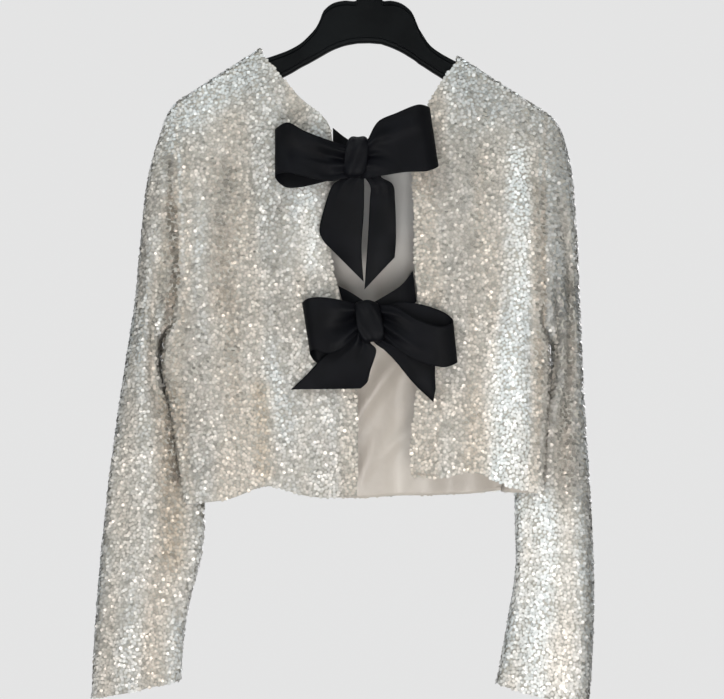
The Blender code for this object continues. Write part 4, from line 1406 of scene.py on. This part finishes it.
@dataclass
class SequinLayer:
    """Cupped sequins scattered over a sheet, overlapping downwards like shingles.

    Args:
        radius: Of one sequin.
        spacing: Least distance between centres.
        sides: Corners of each sequin.
        cup: Depth of its cup.
        lean: How far the lower edge is lifted, in degrees.
        jitter: Spread of its random tilt, in degrees.
        tries: Random places tried for each that could be kept.
        smallest: Least size, as a share of the radius.
        largest: Greatest size, as a share of the radius.
        rise: Least distance from the sheet.
        rise_spread: How much further a sequin may stand.
        flat_limit: Slope below which a sequin has no lower edge.
        valley_painted_shade: How much painted warm shade the sequins in a fold's valley take.
    """

    radius: float = 2.1
    spacing: float = 2.6
    sides: int = 8
    cup: float = 0.32
    lean: float = 15.0
    jitter: float = 14.0
    tries: float = 5.0
    smallest: float = 0.92
    largest: float = 1.06
    rise: float = 0.25
    rise_spread: float = 0.5
    flat_limit: float = 0.2
    valley_painted_shade: float = 0.5

    def thinned(self, points: np.ndarray) -> list[int]:
        """Choose the points that lie no closer than the spacing to one chosen before.

        Args:
            points: Places in the order in which they are tried.

        Returns:
            The numbers of the chosen points.
        """
        cells: dict[tuple[int, int, int], list[tuple[float, float, float]]] = {}
        kept = []
        near = self.spacing ** 2
        keys = np.floor(points / self.spacing).astype(int).tolist()
        steps = list(itertools.product((-1, 0, 1), repeat=3))
        for index, ((i, j, k), (x, y, z)) in enumerate(zip(keys, points.tolist())):
            taken = any((px - x) ** 2 + (py - y) ** 2 + (pz - z) ** 2 < near
                        for a, b, c in steps
                        for px, py, pz in cells.get((i + a, j + b, k + c), ()))
            if not taken:
                cells.setdefault((i, j, k), []).append((x, y, z))
                kept.append(index)
        return kept

    def scatter(self, sheet: Sheet, rng: np.random.Generator) -> tuple[np.ndarray, np.ndarray]:
        """Choose places on a sheet, no two closer than the spacing.

        Args:
            sheet: The sheet.
            rng: Source of the random places.

        Returns:
            Middles with how deep in a valley each lies, and normals.
        """
        triangles = np.concatenate([sheet.quads[:, [0, 1, 2]], sheet.quads[:, [0, 2, 3]]])
        corners = sheet.points[triangles]
        areas = np.linalg.norm(np.cross(corners[:, 1] - corners[:, 0],
                                        corners[:, 2] - corners[:, 0]), axis=1)
        count = int(areas.sum() / 2 / self.spacing ** 2 * self.tries)
        chosen = rng.choice(len(triangles), count, p=areas / areas.sum())
        u, v = rng.random(count), rng.random(count)
        over = u + v > 1
        u[over], v[over] = 1 - u[over], 1 - v[over]
        weights = np.column_stack([1 - u - v, u, v])
        at_rim = np.zeros(len(sheet.points))
        at_rim[sheet.rims.ravel()] = 1.0
        keep = np.einsum("nk,nk->n", weights, at_rim[triangles[chosen]]) < RIM_REACH
        chosen, weights = chosen[keep], weights[keep]
        points = np.einsum("nk,nkj->nj", weights, corners[chosen])
        normals = np.einsum("nk,nkj->nj", weights, sheet.normals[triangles[chosen]])
        normals /= np.linalg.norm(normals, axis=1, keepdims=True)
        kept = self.thinned(points)
        valley = np.einsum("nk,nk->n", weights, sheet.valley[triangles[chosen]])
        return np.column_stack([points, valley])[kept], normals[kept]

    def axes(self, normals: np.ndarray,
             rng: np.random.Generator) -> tuple[np.ndarray, np.ndarray, np.ndarray]:
        """Tilt each sequin so that its lower edge stands out, and a little at random.

        Args:
            normals: The sheet's normal at each sequin.
            rng: Source of the random tilts.

        Returns:
            The way each sequin faces, and the two axes in its plane.
        """
        count = len(normals)
        down = np.array((0.0, 0.0, -1.0)) - normals * -normals[:, 2:3]
        steep = np.linalg.norm(down, axis=1, keepdims=True)
        down = np.where(steep > self.flat_limit, down / np.maximum(steep, 1e-6),
                        np.cross((1, 0, 0), normals))
        down /= np.linalg.norm(down, axis=1, keepdims=True)
        right = np.cross(down, normals)
        lift = np.radians(self.lean + rng.normal(0, self.jitter, count))[:, None]
        roll = np.radians(rng.normal(0, self.jitter, count))[:, None]
        facing = normals - down * np.tan(lift) + right * np.tan(roll)
        facing /= np.linalg.norm(facing, axis=1, keepdims=True)
        first = down - facing * np.einsum("nk,nk->n", down, facing)[:, None]
        first /= np.linalg.norm(first, axis=1, keepdims=True)
        return facing, first, np.cross(facing, first)

    def build(self, name: str, sheet: Sheet, material: bpy.types.Material,
              seed: int) -> bpy.types.Object:
        """Make one mesh of all the sequins on a sheet, with tone and painted light and shade at each
        point.

        Args:
            name: The piece's name.
            sheet: The sheet that they lie on.
            material: Their finish.
            seed: Of the random draws.

        Returns:
            The new piece.
        """
        rng = np.random.default_rng(seed)
        cells, normals = self.scatter(sheet, rng)
        centres, count = cells[:, :3], len(cells)
        facing, first, second = self.axes(normals, rng)
        size = self.radius * rng.uniform(self.smallest, self.largest, count)[:, None, None]
        spin = rng.uniform(0, 2 * math.pi, count)[:, None]
        angles = spin + np.arange(self.sides) * 2 * math.pi / self.sides
        rim = (np.cos(angles)[..., None] * first[:, None] + np.sin(angles)[..., None]
               * second[:, None]) * size
        cup = facing * self.cup
        raise_by = normals * (self.rise + rng.random(count)[:, None] * self.rise_spread)
        base = (centres + raise_by)[:, None]
        points = np.concatenate([base - cup[:, None] / 2, base + rim + cup[:, None] / 2],
                                axis=1).reshape(-1, 3)
        each = self.sides + 1
        start = np.arange(count)[:, None] * each
        step = np.arange(self.sides)
        fan = np.stack([np.zeros(self.sides, int), 1 + step, 1 + (step + 1) % self.sides], axis=-1)
        faces = (start[:, :, None] + fan[None]).reshape(-1, 3)
        piece = put_mesh(name, points, faces, [material])
        # light and warm carry the streaks' painted light and shade and the painted warm shade in
        # folds' valleys; rim places each sequin's painted edge shade.
        light, warm = painted_streaks(centres)
        rim = np.ones((count, each))
        rim[:, 0] = 0
        for label, values in (("tone", rng.random(count)), ("light", light),
                              ("warm", warm + cells[:, 3] * self.valley_painted_shade), ("rim", rim)):
            attribute = piece.data.attributes.new(label, "FLOAT", "POINT")
            values = values if values.ndim > 1 else np.repeat(values, each)
            attribute.data.foreach_set("value", values.ravel().astype(np.float32))
        LOG.info("%s: %d sequins", name, count)
        return piece


@dataclass
class Jacket:
    """Panels, sleeves, lining, facings and all their sequins.

    Args:
        finishes: Every material.
        cloth_top: Where the backing cloth's outer face lies, off the sheet of the sequins.
        first_seed: Of the first piece's sequins; each next piece takes the next number.
        lining_row: First row of the lining, counted from the end of the crest.
        facing_columns: Columns of the front that its facing covers.
        lining_gap: Between the cloth's wall and the lining.
        lining_wall: The lining's thickness.
        grids: Surfaces of every sequinned piece by name, worked out by lay_out.
    """

    finishes: Finishes
    cloth_top: float = -0.75
    first_seed: int = 11
    lining_row: int = 4
    facing_columns: int = 9
    lining_gap: float = 0.4
    lining_wall: float = 0.8
    grids: dict[str, list[Grid]] = field(default_factory=dict)

    def lay_out(self) -> None:
        """Work out the grids of every piece."""
        left = Panel(LEFT_FRONT_EDGE, LEFT_SIDE, LEFT_FRONT_FOLDS, LEFT_FRONT_LIFT,
                     LEFT_FRONT_WRINKLES, Facing.NEAR).grid()
        right = Panel(RIGHT_FRONT_EDGE, RIGHT_SIDE, RIGHT_FRONT_FOLDS, RIGHT_FRONT_LIFT,
                      RIGHT_FRONT_WRINKLES, Facing.NEAR).grid()
        left_back, right_back = (
            Panel(edge, side, BACK_FOLDS, BACK_LIFT, BACK_WRINKLES, Facing.FAR).grid()
            for edge, side in ((LEFT_BACK_EDGE, LEFT_SIDE), (RIGHT_BACK_EDGE, RIGHT_SIDE)))
        self.grids = {
            "left_front": [(left, False)],
            "right_front": [(right, True)],
            "back": [(left_back, True), (right_back, False)],
            "left_sleeve": [(Sleeve(left, left_back, LEFT_RINGS, LEFT_CREASES,
                                    phase=0.4).grid(), True)],
            "right_sleeve": [(Sleeve(right, right_back, RIGHT_RINGS, RIGHT_CREASES,
                                     phase=1.9).grid(), False)]}

    def build(self) -> list[bpy.types.Object]:
        """Make each cloth piece with its sequins, then what lines it.

        Returns:
            Every piece.
        """
        self.lay_out()
        pieces = []
        layer = SequinLayer()
        for seed, (name, grids) in enumerate(self.grids.items(), self.first_seed):
            sheet = Sheet.from_grids(grids)
            cloth = put_walled(name + "_cloth", sheet, self.cloth_top, -CLOTH_WALL,
                               [self.finishes.backing, self.finishes.satin])
            declare_cloth(cloth, Slot.SEQUINS, name, sheet)
            sequins = layer.build(name + "_sequins", sheet, self.finishes.sequins, seed)
            pieces += [cloth, declare(sequins, Slot.SEQUINS, name)]
        return pieces + self.build_lining()

    def build_lining(self) -> list[bpy.types.Object]:
        """Make the satin that lines the far panel and the opening's edges.

        Returns:
            The three pieces.
        """
        rows = slice(CREST_STEPS + self.lining_row, None)
        parts = {"back_lining": ("back", FRONT_COLUMNS),
                 "left_front_facing": ("left_front", self.facing_columns),
                 "right_front_facing": ("right_front", self.facing_columns)}
        pieces = []
        for name, (source, columns) in parts.items():
            grids = [(grid[rows, :columns].copy(), flipped)
                     for grid, flipped in self.grids[source]]
            for grid, _ in grids:
                grid[-1, :, 2] += LINING_RISE
            sheet = Sheet.from_grids(grids)
            folds = (ridge(LINING_WRINKLES, sheet.points[:, 0], sheet.points[:, 2])
                     if name == "back_lining" else 0.0)
            top = -(CLOTH_WALL + self.lining_gap) - folds
            piece = put_walled(name + "_satin", sheet, top, top - self.lining_wall,
                               [self.finishes.satin])
            pieces.append(declare_cloth(piece, Slot.LINING, name, sheet))
        return pieces


# Bows
def put_run(piece: bpy.types.Object, places: np.ndarray) -> None:
    """Write where each point lies along and across a ribbon, as UV.

    Args:
        piece: The ribbon, whose inner face repeats the points of its outer face.
        places: Distance along and across, in metres, for each point of the outer face.
    """
    corners = np.zeros(len(piece.data.loops), np.int32)
    piece.data.loops.foreach_get("vertex_index", corners)
    layer = piece.data.uv_layers.new(name="run")
    layer.data.foreach_set("uv", places[corners % len(places)].ravel().astype(np.float32))


@dataclass
class Ribbon:
    """A strip of ribbon through its stations, with pleats along it.

    Args:
        name: CAD node that it stands for.
        stations: Rows across the ribbon.
        pleats: Ridges and valleys along it.
        held: Not used.
        crown: How far it is domed across.
        steps: Rows along it.
        columns: Columns across it.
        wall: Its thickness.
        tucked: How far it runs on into the knot at its start and end, as a share of its
            first and last station's step.
    """

    name: str
    stations: list[Station]
    pleats: list[Pleat] = field(default_factory=list)
    held: Held = Held.HUNG
    crown: float = 0.0
    steps: int = 72
    columns: int = 28
    wall: float = 0.7
    tucked: tuple[float, float] = (0.0, 0.0)

    def stand(self, place: np.ndarray, share: np.ndarray) -> np.ndarray:
        """How far the crown and the pleats lift the ribbon.

        Args:
            place: Share of the run at each row, as a column.
            share: Share of the width at each column.

        Returns:
            One height for each point of the grid.
        """
        total = self.crown * 4 * share * (1 - share) * np.ones((len(place), 1))
        for pleat in self.pleats:
            if pleat.start > 0:
                reach = (smooth((place - pleat.start) / PLEAT_START_FADE)
                         * smooth((pleat.end - place) / PLEAT_END_FADE))
            else:
                reach = smooth((pleat.end - place) / max(pleat.end, PLEAT_END_FADE))
            level = np.clip((place - pleat.start) / (pleat.end - pleat.start), 0, 1)
            centre = mix(pleat.start_share, pleat.end_share, level)
            total = total + pleat.height * reach * np.exp(
                -((share - centre) / pleat.half_width) ** 2)
        return total

    def surface(self) -> tuple[np.ndarray, np.ndarray, np.ndarray]:
        """Work out the middle surface.

        Returns:
            Its grid of points, and the run and width at each row.
        """
        rows = np.array([along(self.stations, (len(self.stations) - 1) * step / self.steps)
                         for step in range(self.steps + 1)])
        table = np.array(self.stations)
        ends = (table[0] + self.tucked[0] * (table[0] - table[1]),
                table[-1] + self.tucked[1] * (table[-1] - table[-2]))
        rows = np.vstack([ends[0], rows] if self.tucked[0] else [rows])
        rows = np.vstack([rows, ends[1]] if self.tucked[1] else [rows])
        share = np.linspace(0, 1, self.columns + 1)
        first, second = rows[:, [0, 2, 1]], rows[:, [3, 5, 4]]
        grid = mix(first[:, None], second[:, None], share[None, :, None])
        middle = grid[:, self.columns // 2]
        run = np.concatenate([[0], np.cumsum(np.linalg.norm(np.diff(middle, axis=0), axis=1))])
        across = second - first
        width = np.linalg.norm(across, axis=1)
        ahead = np.gradient(middle, axis=0)
        normal = np.cross(ahead, across)
        normal /= np.maximum(np.linalg.norm(normal, axis=1, keepdims=True), 1e-9)
        normal *= -math.copysign(1.0, normal[0, 1])
        stand = self.stand((run / run[-1])[:, None], share)
        grid = grid + normal[:, None] * stand[..., None]
        return grid, run, width

    def build(self, material: bpy.types.Material) -> bpy.types.Object:
        """Make the ribbon's mesh, with its run as UV.

        Args:
            material: Its finish.

        Returns:
            The new piece.
        """
        grid, run, width = self.surface()
        sheet = Sheet.from_grids([(grid, False)])
        piece = put_walled(self.name + "_ribbon", sheet, self.wall / 2, -self.wall / 2,
                           [material])
        flat = grid.reshape(-1, 3)
        _, first = np.unique(np.round(flat, 3), axis=0, return_index=True)
        rows, columns = first // (self.columns + 1), first % (self.columns + 1)
        places = np.column_stack([run[rows], columns / self.columns * width[rows]]) * MM
        put_run(piece, places)
        declare(piece, Slot.RIBBON, self.name)
        min(sheet.area(), float(width.max() * run[-1]) * MM * MM)
        return piece


@dataclass
class Knot:
    """The ribbon wrapped round a bow's middle, a band with soft pleats.

    Args:
        name: CAD node that it stands for.
        place: Its middle.
        size: Width, depth and height.
        slant: How far its band leans, in degrees.
        twist: How far its pleats run across it from top to bottom.
        seed: Of its pleats.
        around: Steps round the band.
        across: Steps from side to side.
        pinch: How much lower the band's two edges lie, as a share.
        pinch_power: How sharply they fall.
        fold_height: Least and greatest height of a pleat.
        fold_rate: Turns of the first pleat across the band.
        swell: How much fuller the top and bottom are than the front.
        waist: How much narrower the top and bottom are.
        squareness: Below 1 the band is squarer than an oval.
        wall: Its thickness.
        wrap_radius: Radius that its run is measured at, in metres.
    """

    name: str
    place: tuple[float, float, float]
    size: tuple[float, float, float]
    slant: float
    twist: float
    seed: int
    around: int = 96
    across: int = 30
    pinch: float = 0.16
    pinch_power: float = 4.0
    fold_height: tuple[float, float] = (0.35, 0.75)
    fold_rate: float = 2.0
    swell: float = 0.03
    waist: float = 0.12
    squareness: float = 0.8
    wall: float = 0.9
    wrap_radius: float = 0.016

    def build(self, material: bpy.types.Material) -> bpy.types.Object:
        """Make the wrapped band.

        Args:
            material: Its finish.

        Returns:
            The new piece.
        """
        rng = np.random.default_rng(self.seed)
        turn = np.linspace(0, 2 * math.pi, self.around + 1)[:, None]
        share = np.linspace(-1, 1, self.across + 1)[None]
        folds = sum(rng.uniform(*self.fold_height) * np.cos(
            (share + self.twist * np.cos(turn) - rng.uniform(-1, 1)) * k * self.fold_rate)
                    for k in (1, 2, 3))
        full = ((1 - self.pinch * np.abs(share) ** self.pinch_power)
                * (1 + self.swell * np.cos(2 * turn)))
        width = self.size[0] / 2 * (1 - self.waist * np.cos(turn) ** 2)
        lean = math.tan(math.radians(self.slant)) * np.cos(turn) * self.size[2] / 4
        out, up = (np.sign(wave) * np.abs(wave) ** self.squareness
                   for wave in (np.sin(turn), np.cos(turn)))
        x = self.place[0] + share * width + lean
        y = self.place[1] - (self.size[1] / 2 * full + folds) * out
        z = self.place[2] + (self.size[2] / 2 * full + folds / 2) * up
        grid = np.stack([x, y, z], axis=-1)
        grid[-1] = grid[0]
        sheet = Sheet.from_grids([(grid, False)])
        middle = np.array(self.place)
        outward = np.einsum("nk,nk->n", sheet.normals, sheet.points - middle).mean() > 0
        inner = -self.wall if outward else self.wall
        piece = put_walled(self.name + "_ribbon", sheet, 0.0, inner, [material])
        points = sheet.points * MM
        angle = np.arctan2(points[:, 1] - middle[1] * MM, points[:, 2] - middle[2] * MM)
        put_run(piece, np.column_stack([angle * self.wrap_radius, points[:, 0]]))
        declare(piece, Slot.RIBBON, self.name)
        length = sheet.area() / (self.size[0] * MM)
        return piece


@dataclass
class Bows:
    """Both ribbon bows.

    Args:
        finishes: Every material.
        tucked: How far the loops run on into the knot, at their start and end.
    """

    finishes: Finishes
    tucked: tuple[float, float] = (0.45, 0.45)

    def build(self) -> list[bpy.types.Object]:
        """Make every piece of both bows.

        Returns:
            The pieces: loops, tails, ties and knots.
        """
        parts: list[Union[Ribbon, Knot]] = []
        for name, stations in LOOPS.items():
            parts.append(Ribbon(name, stations, PLEATS[name], Held.GATHERED, steps=120,
                                tucked=self.tucked))
        for name, stations in TAILS.items():
            raised = Station(*np.add(stations[0], TAIL_RISE + TAIL_RISE))
            parts.append(Ribbon(name, [raised, *stations], PLEATS[name], Held.HUNG,
                                crown=TAIL_CROWN))
        for name, stations in TIES.items():
            parts.append(Ribbon(name, stations, held=Held.STRETCHED, steps=30))
        parts.append(Knot("top_bow_knot", place=(-13.4, -46, -227.6), size=(23.6, 21, 40.2),
                          slant=12.0, twist=-0.6, seed=3))
        parts.append(Knot("low_bow_knot", place=(-0.1, -50, -394.4), size=(26.5, 21, 41.2),
                          slant=-16.0, twist=0.7, seed=8))
        return [part.build(self.finishes.ribbon) for part in parts]


# Hanger
@dataclass
class Hanger:
    """Flat hanger with a raised rim, and its wire hook.

    Args:
        finishes: Every material.
        half_thick: Half the body's thickness.
        corner: Radius of its rounded edges, where the arm is high enough.
        corner_limit: How many times the corner's radius an arm must be high.
        corner_steps: Steps round a corner.
        recess: Depth of the sunk faces.
        recess_start: Height of the arm at which the faces start to sink.
        recess_fade: How much higher it is where they are fully sunk.
        rim: Height of the rims that are left.
        rim_limit: The most of an arm's height that one rim takes.
        slope: How far down a rim's inner side slopes.
        spacing: Greatest distance between rings.
        straight_step: Rows of the profile closer than this are joined by straight lines.
        straight_reach: So are the rows this near the middle.
        sharp_angle: Edges sharper than this, in degrees, are shaded sharp.
        wire: The wire's thickness.
        hook_radius: Inner radius of the hook.
        hook_arc: Where the hook's arc starts and ends, in degrees from +X.
        hook_steps: Steps along the arc.
        neck_steps: Steps along the neck.
        tip: Shares of the wire's thickness at its first points.
    """

    finishes: Finishes
    half_thick: float = 5.5
    corner: float = 2.6
    corner_limit: float = 2.6
    corner_steps: int = 4
    recess: float = 1.6
    recess_start: float = 14
    recess_fade: float = 10
    rim: float = 4.2
    rim_limit: float = 0.3
    slope: float = 1.2
    spacing: float = 2.5
    straight_step: float = 3
    straight_reach: float = 13
    sharp_angle: float = 38
    wire: float = 4.0
    hook_radius: float = 20.0
    hook_arc: tuple[float, float] = (205, -62)
    hook_steps: int = 60
    neck_steps: int = 24
    tip: tuple[float, ...] = (0.35, 0.85)

    def section(self, x: float, top: float, bottom: float) -> np.ndarray:
        """One ring of the body: rounded edges, and faces sunk between two rims.

        Args:
            x: Distance from the hanger's middle.
            top: Top of the arm there.
            bottom: Bottom of the arm there.

        Returns:
            The ring's points.
        """
        height = top - bottom
        corner = min(self.corner, height / self.corner_limit)
        rim = min(self.rim, height * self.rim_limit)
        sink = self.recess * float(smooth((height - self.recess_start) / self.recess_fade))
        slope = self.slope if sink > 0 else 0.0
        half = []
        for step in range(self.corner_steps + 1):
            angle = math.radians(90 - 90 * step / self.corner_steps)
            half.append((self.half_thick - self.corner + self.corner * math.cos(angle),
                         top - corner + corner * math.sin(angle)))
        low = [(y, top + bottom - z) for y, z in half[::-1]]
        floor = self.half_thick - sink
        inner = [(self.half_thick, top - rim), (floor, top - rim - slope),
                 (floor, (top + bottom) / 2), (floor, bottom + rim + slope),
                 (self.half_thick, bottom + rim)]
        side = half + inner + low
        ring = side + [(-y, z) for y, z in side[::-1]]
        return np.array([(x, y, z) for y, z in ring])

    def rings(self) -> np.ndarray:
        """Rings along the whole body.

        Returns:
            The points of each ring.
        """
        shares = []
        for index in range(len(HANGER_PROFILE) - 1):
            span = HANGER_PROFILE[index + 1].x - HANGER_PROFILE[index].x
            steps = max(2, int(span / self.spacing))
            shares += [index + step / steps for step in range(steps)]
        shares.append(len(HANGER_PROFILE) - 1)
        rings = []
        for share in shares:
            index = min(int(share), len(HANGER_PROFILE) - 2)
            first, second = HANGER_PROFILE[index], HANGER_PROFILE[index + 1]
            if (second.x - first.x < self.straight_step
                    or abs(first.x) < self.straight_reach):
                x, top, bottom = mix(np.array(first), np.array(second), share - index)
            else:
                x, top, bottom = along(HANGER_PROFILE, share)
            rings.append(self.section(x, top, bottom))
        return np.array(rings)

    def build_body(self) -> bpy.types.Object:
        """Make the moulded body.

        Returns:
            The new piece.
        """
        grid = self.rings()
        grid = np.concatenate([grid, grid[:, :1]], axis=1)
        ends = [np.repeat(ring.mean(axis=0)[None], len(ring), axis=0) for ring in
                (grid[0], grid[-1])]
        grid = np.concatenate([ends[0][None], grid, ends[1][None]])
        rows, columns = grid.shape[:2]
        index = np.arange(rows * columns).reshape(rows, columns)
        index[:, -1] = index[:, 0]
        quads = np.stack([index[1:, :-1], index[1:, 1:], index[:-1, 1:], index[:-1, :-1]],
                         axis=-1).reshape(-1, 4)
        piece = put_mesh("hanger_body_moulded", grid.reshape(-1, 3), quads,
                         [self.finishes.plastic])
        mesh = piece.data
        mesh.validate()
        mesh.set_sharp_from_angle(angle=math.radians(self.sharp_angle))
        return declare(piece, Slot.HANGER, "hanger_body")

    def build_hook(self) -> bpy.types.Object:
        """Make the wire hook, whose inner crest is the origin.

        Returns:
            The new piece.
        """
        radius = self.hook_radius + self.wire / 2
        path = []
        for step in range(self.hook_steps + 1):
            angle = math.radians(mix(*self.hook_arc, step / self.hook_steps))
            path.append((radius * math.cos(angle), -self.hook_radius + radius * math.sin(angle)))
        neck = [path[-1], *HOOK_NECK]
        path += [tuple(along(neck, (len(neck) - 1) * step / self.neck_steps))
                 for step in range(1, self.neck_steps + 1)]
        curve = bpy.data.curves.new("hanger_hook_wire", "CURVE")
        curve.dimensions = "3D"
        curve.bevel_depth = self.wire / 2 * MM
        curve.bevel_resolution = 8
        curve.use_fill_caps = True
        spline = curve.splines.new("POLY")
        spline.points.add(len(path) - 1)
        for point, (x, z) in zip(spline.points, path):
            point.co = (x * MM, 0.0, z * MM, 1.0)
        for point, size in zip(spline.points, self.tip):
            point.radius = size
        curve.materials.append(self.finishes.hook)
        piece = bpy.data.objects.new("hanger_hook_wire", curve)
        bpy.context.scene.collection.objects.link(piece)
        return declare(piece, Slot.HOOK, "hanger_hook")

    def build(self) -> list[bpy.types.Object]:
        """Make both pieces."""
        return [self.build_body(), self.build_hook()]


# Stage
@dataclass(frozen=True)
class Lamp:
    """A soft area lamp, in metres and watts, that looks at the jacket."""

    name: str
    place: tuple[float, float, float]
    size: float
    power: float
    colour: Colour

    def build(self, aim: Vector) -> None:
        """Make the lamp.

        Args:
            aim: Place that it looks at.
        """
        data = bpy.data.lights.new(self.name, "AREA")
        data.shape, data.size, data.energy = "DISK", self.size, self.power
        data.color = self.colour
        lamp = bpy.data.objects.new(self.name, data)
        lamp.location = self.place
        lamp.rotation_euler = (aim - Vector(self.place)).to_track_quat("-Z", "Y").to_euler()
        lamp.visible_camera = False
        bpy.context.scene.collection.objects.link(lamp)


@dataclass
class Stage:
    """Pale floor and backdrop, soft lamps and the camera at the photograph's angle, in metres.

    Args:
        aim: Place that the camera and the lamps look at.
        distance: From the camera to that place.
        view_width: Width that the camera sees there.
        sensor: Width of the camera's sensor, in millimetres.
        floor_z: Height of the floor.
        floor_radius: How far it reaches before it bends up.
        floor_rings: Rings on the flat floor.
        bend: Radius of the bend into the wall.
        bend_steps: Steps up the bend.
        around: Steps round the backdrop.
        wall_height: Top of the wall.
        sky: Colour of the world.
        sky_strength: Strength of the world.
        lamps: The lamps.
    """

    aim: tuple[float, float, float] = (-0.0076, -0.02, -0.4228)
    distance: float = 1.65
    view_width: float = 0.7457
    sensor: float = 36.0
    floor_z: float = -1.8
    floor_radius: float = 3.4
    floor_rings: int = 8
    bend: float = 1.2
    bend_steps: int = 12
    around: int = 96
    wall_height: float = 3.6
    sky: Colour = (0.95, 0.98, 1.0)
    sky_strength: float = 0.32
    lamps: tuple[Lamp, ...] = (
        Lamp("key", (0.05, -1.9, -1.0), 1.0, 28.0, (1.0, 0.985, 0.965)),
        Lamp("top", (-0.8, -1.8, 0.55), 0.7, 11.0, (0.90, 0.97, 1.0)),
        Lamp("fill", (1.4, -1.5, -0.4), 1.0, 1.5, (1.0, 0.99, 0.97)),
        Lamp("glint", (0.3, -2.1, 0.1), 0.10, 2.5, (1.0, 1.0, 1.0)),
        Lamp("back", (0.8, 1.9, 0.1), 1.2, 40.0, (1.0, 0.98, 0.95)),
        Lamp("sky", (0.0, 0.35, 1.1), 1.2, 12.0, (0.97, 0.99, 1.0)))

    def build_backdrop(self) -> None:
        """Make the floor and the wall that it bends up into."""
        rings = [(radius, self.floor_z)
                 for radius in np.linspace(0.0, self.floor_radius, self.floor_rings)]
        for step in range(1, self.bend_steps + 1):
            angle = math.radians(90 * step / self.bend_steps)
            rings.append((self.floor_radius + self.bend * math.sin(angle),
                          self.floor_z + self.bend * (1 - math.cos(angle))))
        rings.append((self.floor_radius + self.bend, self.wall_height))
        turn = np.linspace(0, 2 * math.pi, self.around + 1)
        grid = np.array([[(radius * math.cos(t), radius * math.sin(t), z) for t in turn]
                         for radius, z in rings]) / MM
        sheet = Sheet.from_grids([(grid, True)])
        floor = put_mesh("backdrop", sheet.points, sheet.quads, [StageFinish().build()])
        floor.visible_diffuse = floor.visible_glossy = floor.visible_shadow = False

    def build_world(self) -> None:
        """Make the even light from all round."""
        world = bpy.data.worlds.new("studio")
        world.use_nodes = True
        background = world.node_tree.nodes["Background"]
        background.inputs["Color"].default_value = (*self.sky, 1)
        background.inputs["Strength"].default_value = self.sky_strength
        bpy.context.scene.world = world

    def build_camera(self) -> None:
        """Make the camera, level and facing +Y."""
        data = bpy.data.cameras.new("camera")
        data.sensor_width = self.sensor
        data.lens = data.sensor_width * self.distance / self.view_width
        camera = bpy.data.objects.new("camera", data)
        camera.location = (self.aim[0], self.aim[1] - self.distance, self.aim[2])
        camera.rotation_euler = (math.radians(90), 0, 0)
        bpy.context.scene.collection.objects.link(camera)
        bpy.context.scene.camera = camera
        bpy.context.scene.view_settings.view_transform = "Standard"

    def build(self) -> None:
        """Make the backdrop, lamps, world and camera."""
        self.build_backdrop()
        for lamp in self.lamps:
            lamp.build(Vector(self.aim))
        self.build_world()
        self.build_camera()


def main() -> None:
    """Build the stage and every sub-assembly."""
    logging.basicConfig(level=logging.INFO, format="%(message)s")
    Stage().build()
    finishes = Finishes()
    for part in (Hanger(finishes), Jacket(finishes), Bows(finishes)):
        for piece in part.build():
            LOG.info("%s: %s", type(part).__name__, piece.name)


if __name__ == "__main__":
    main()
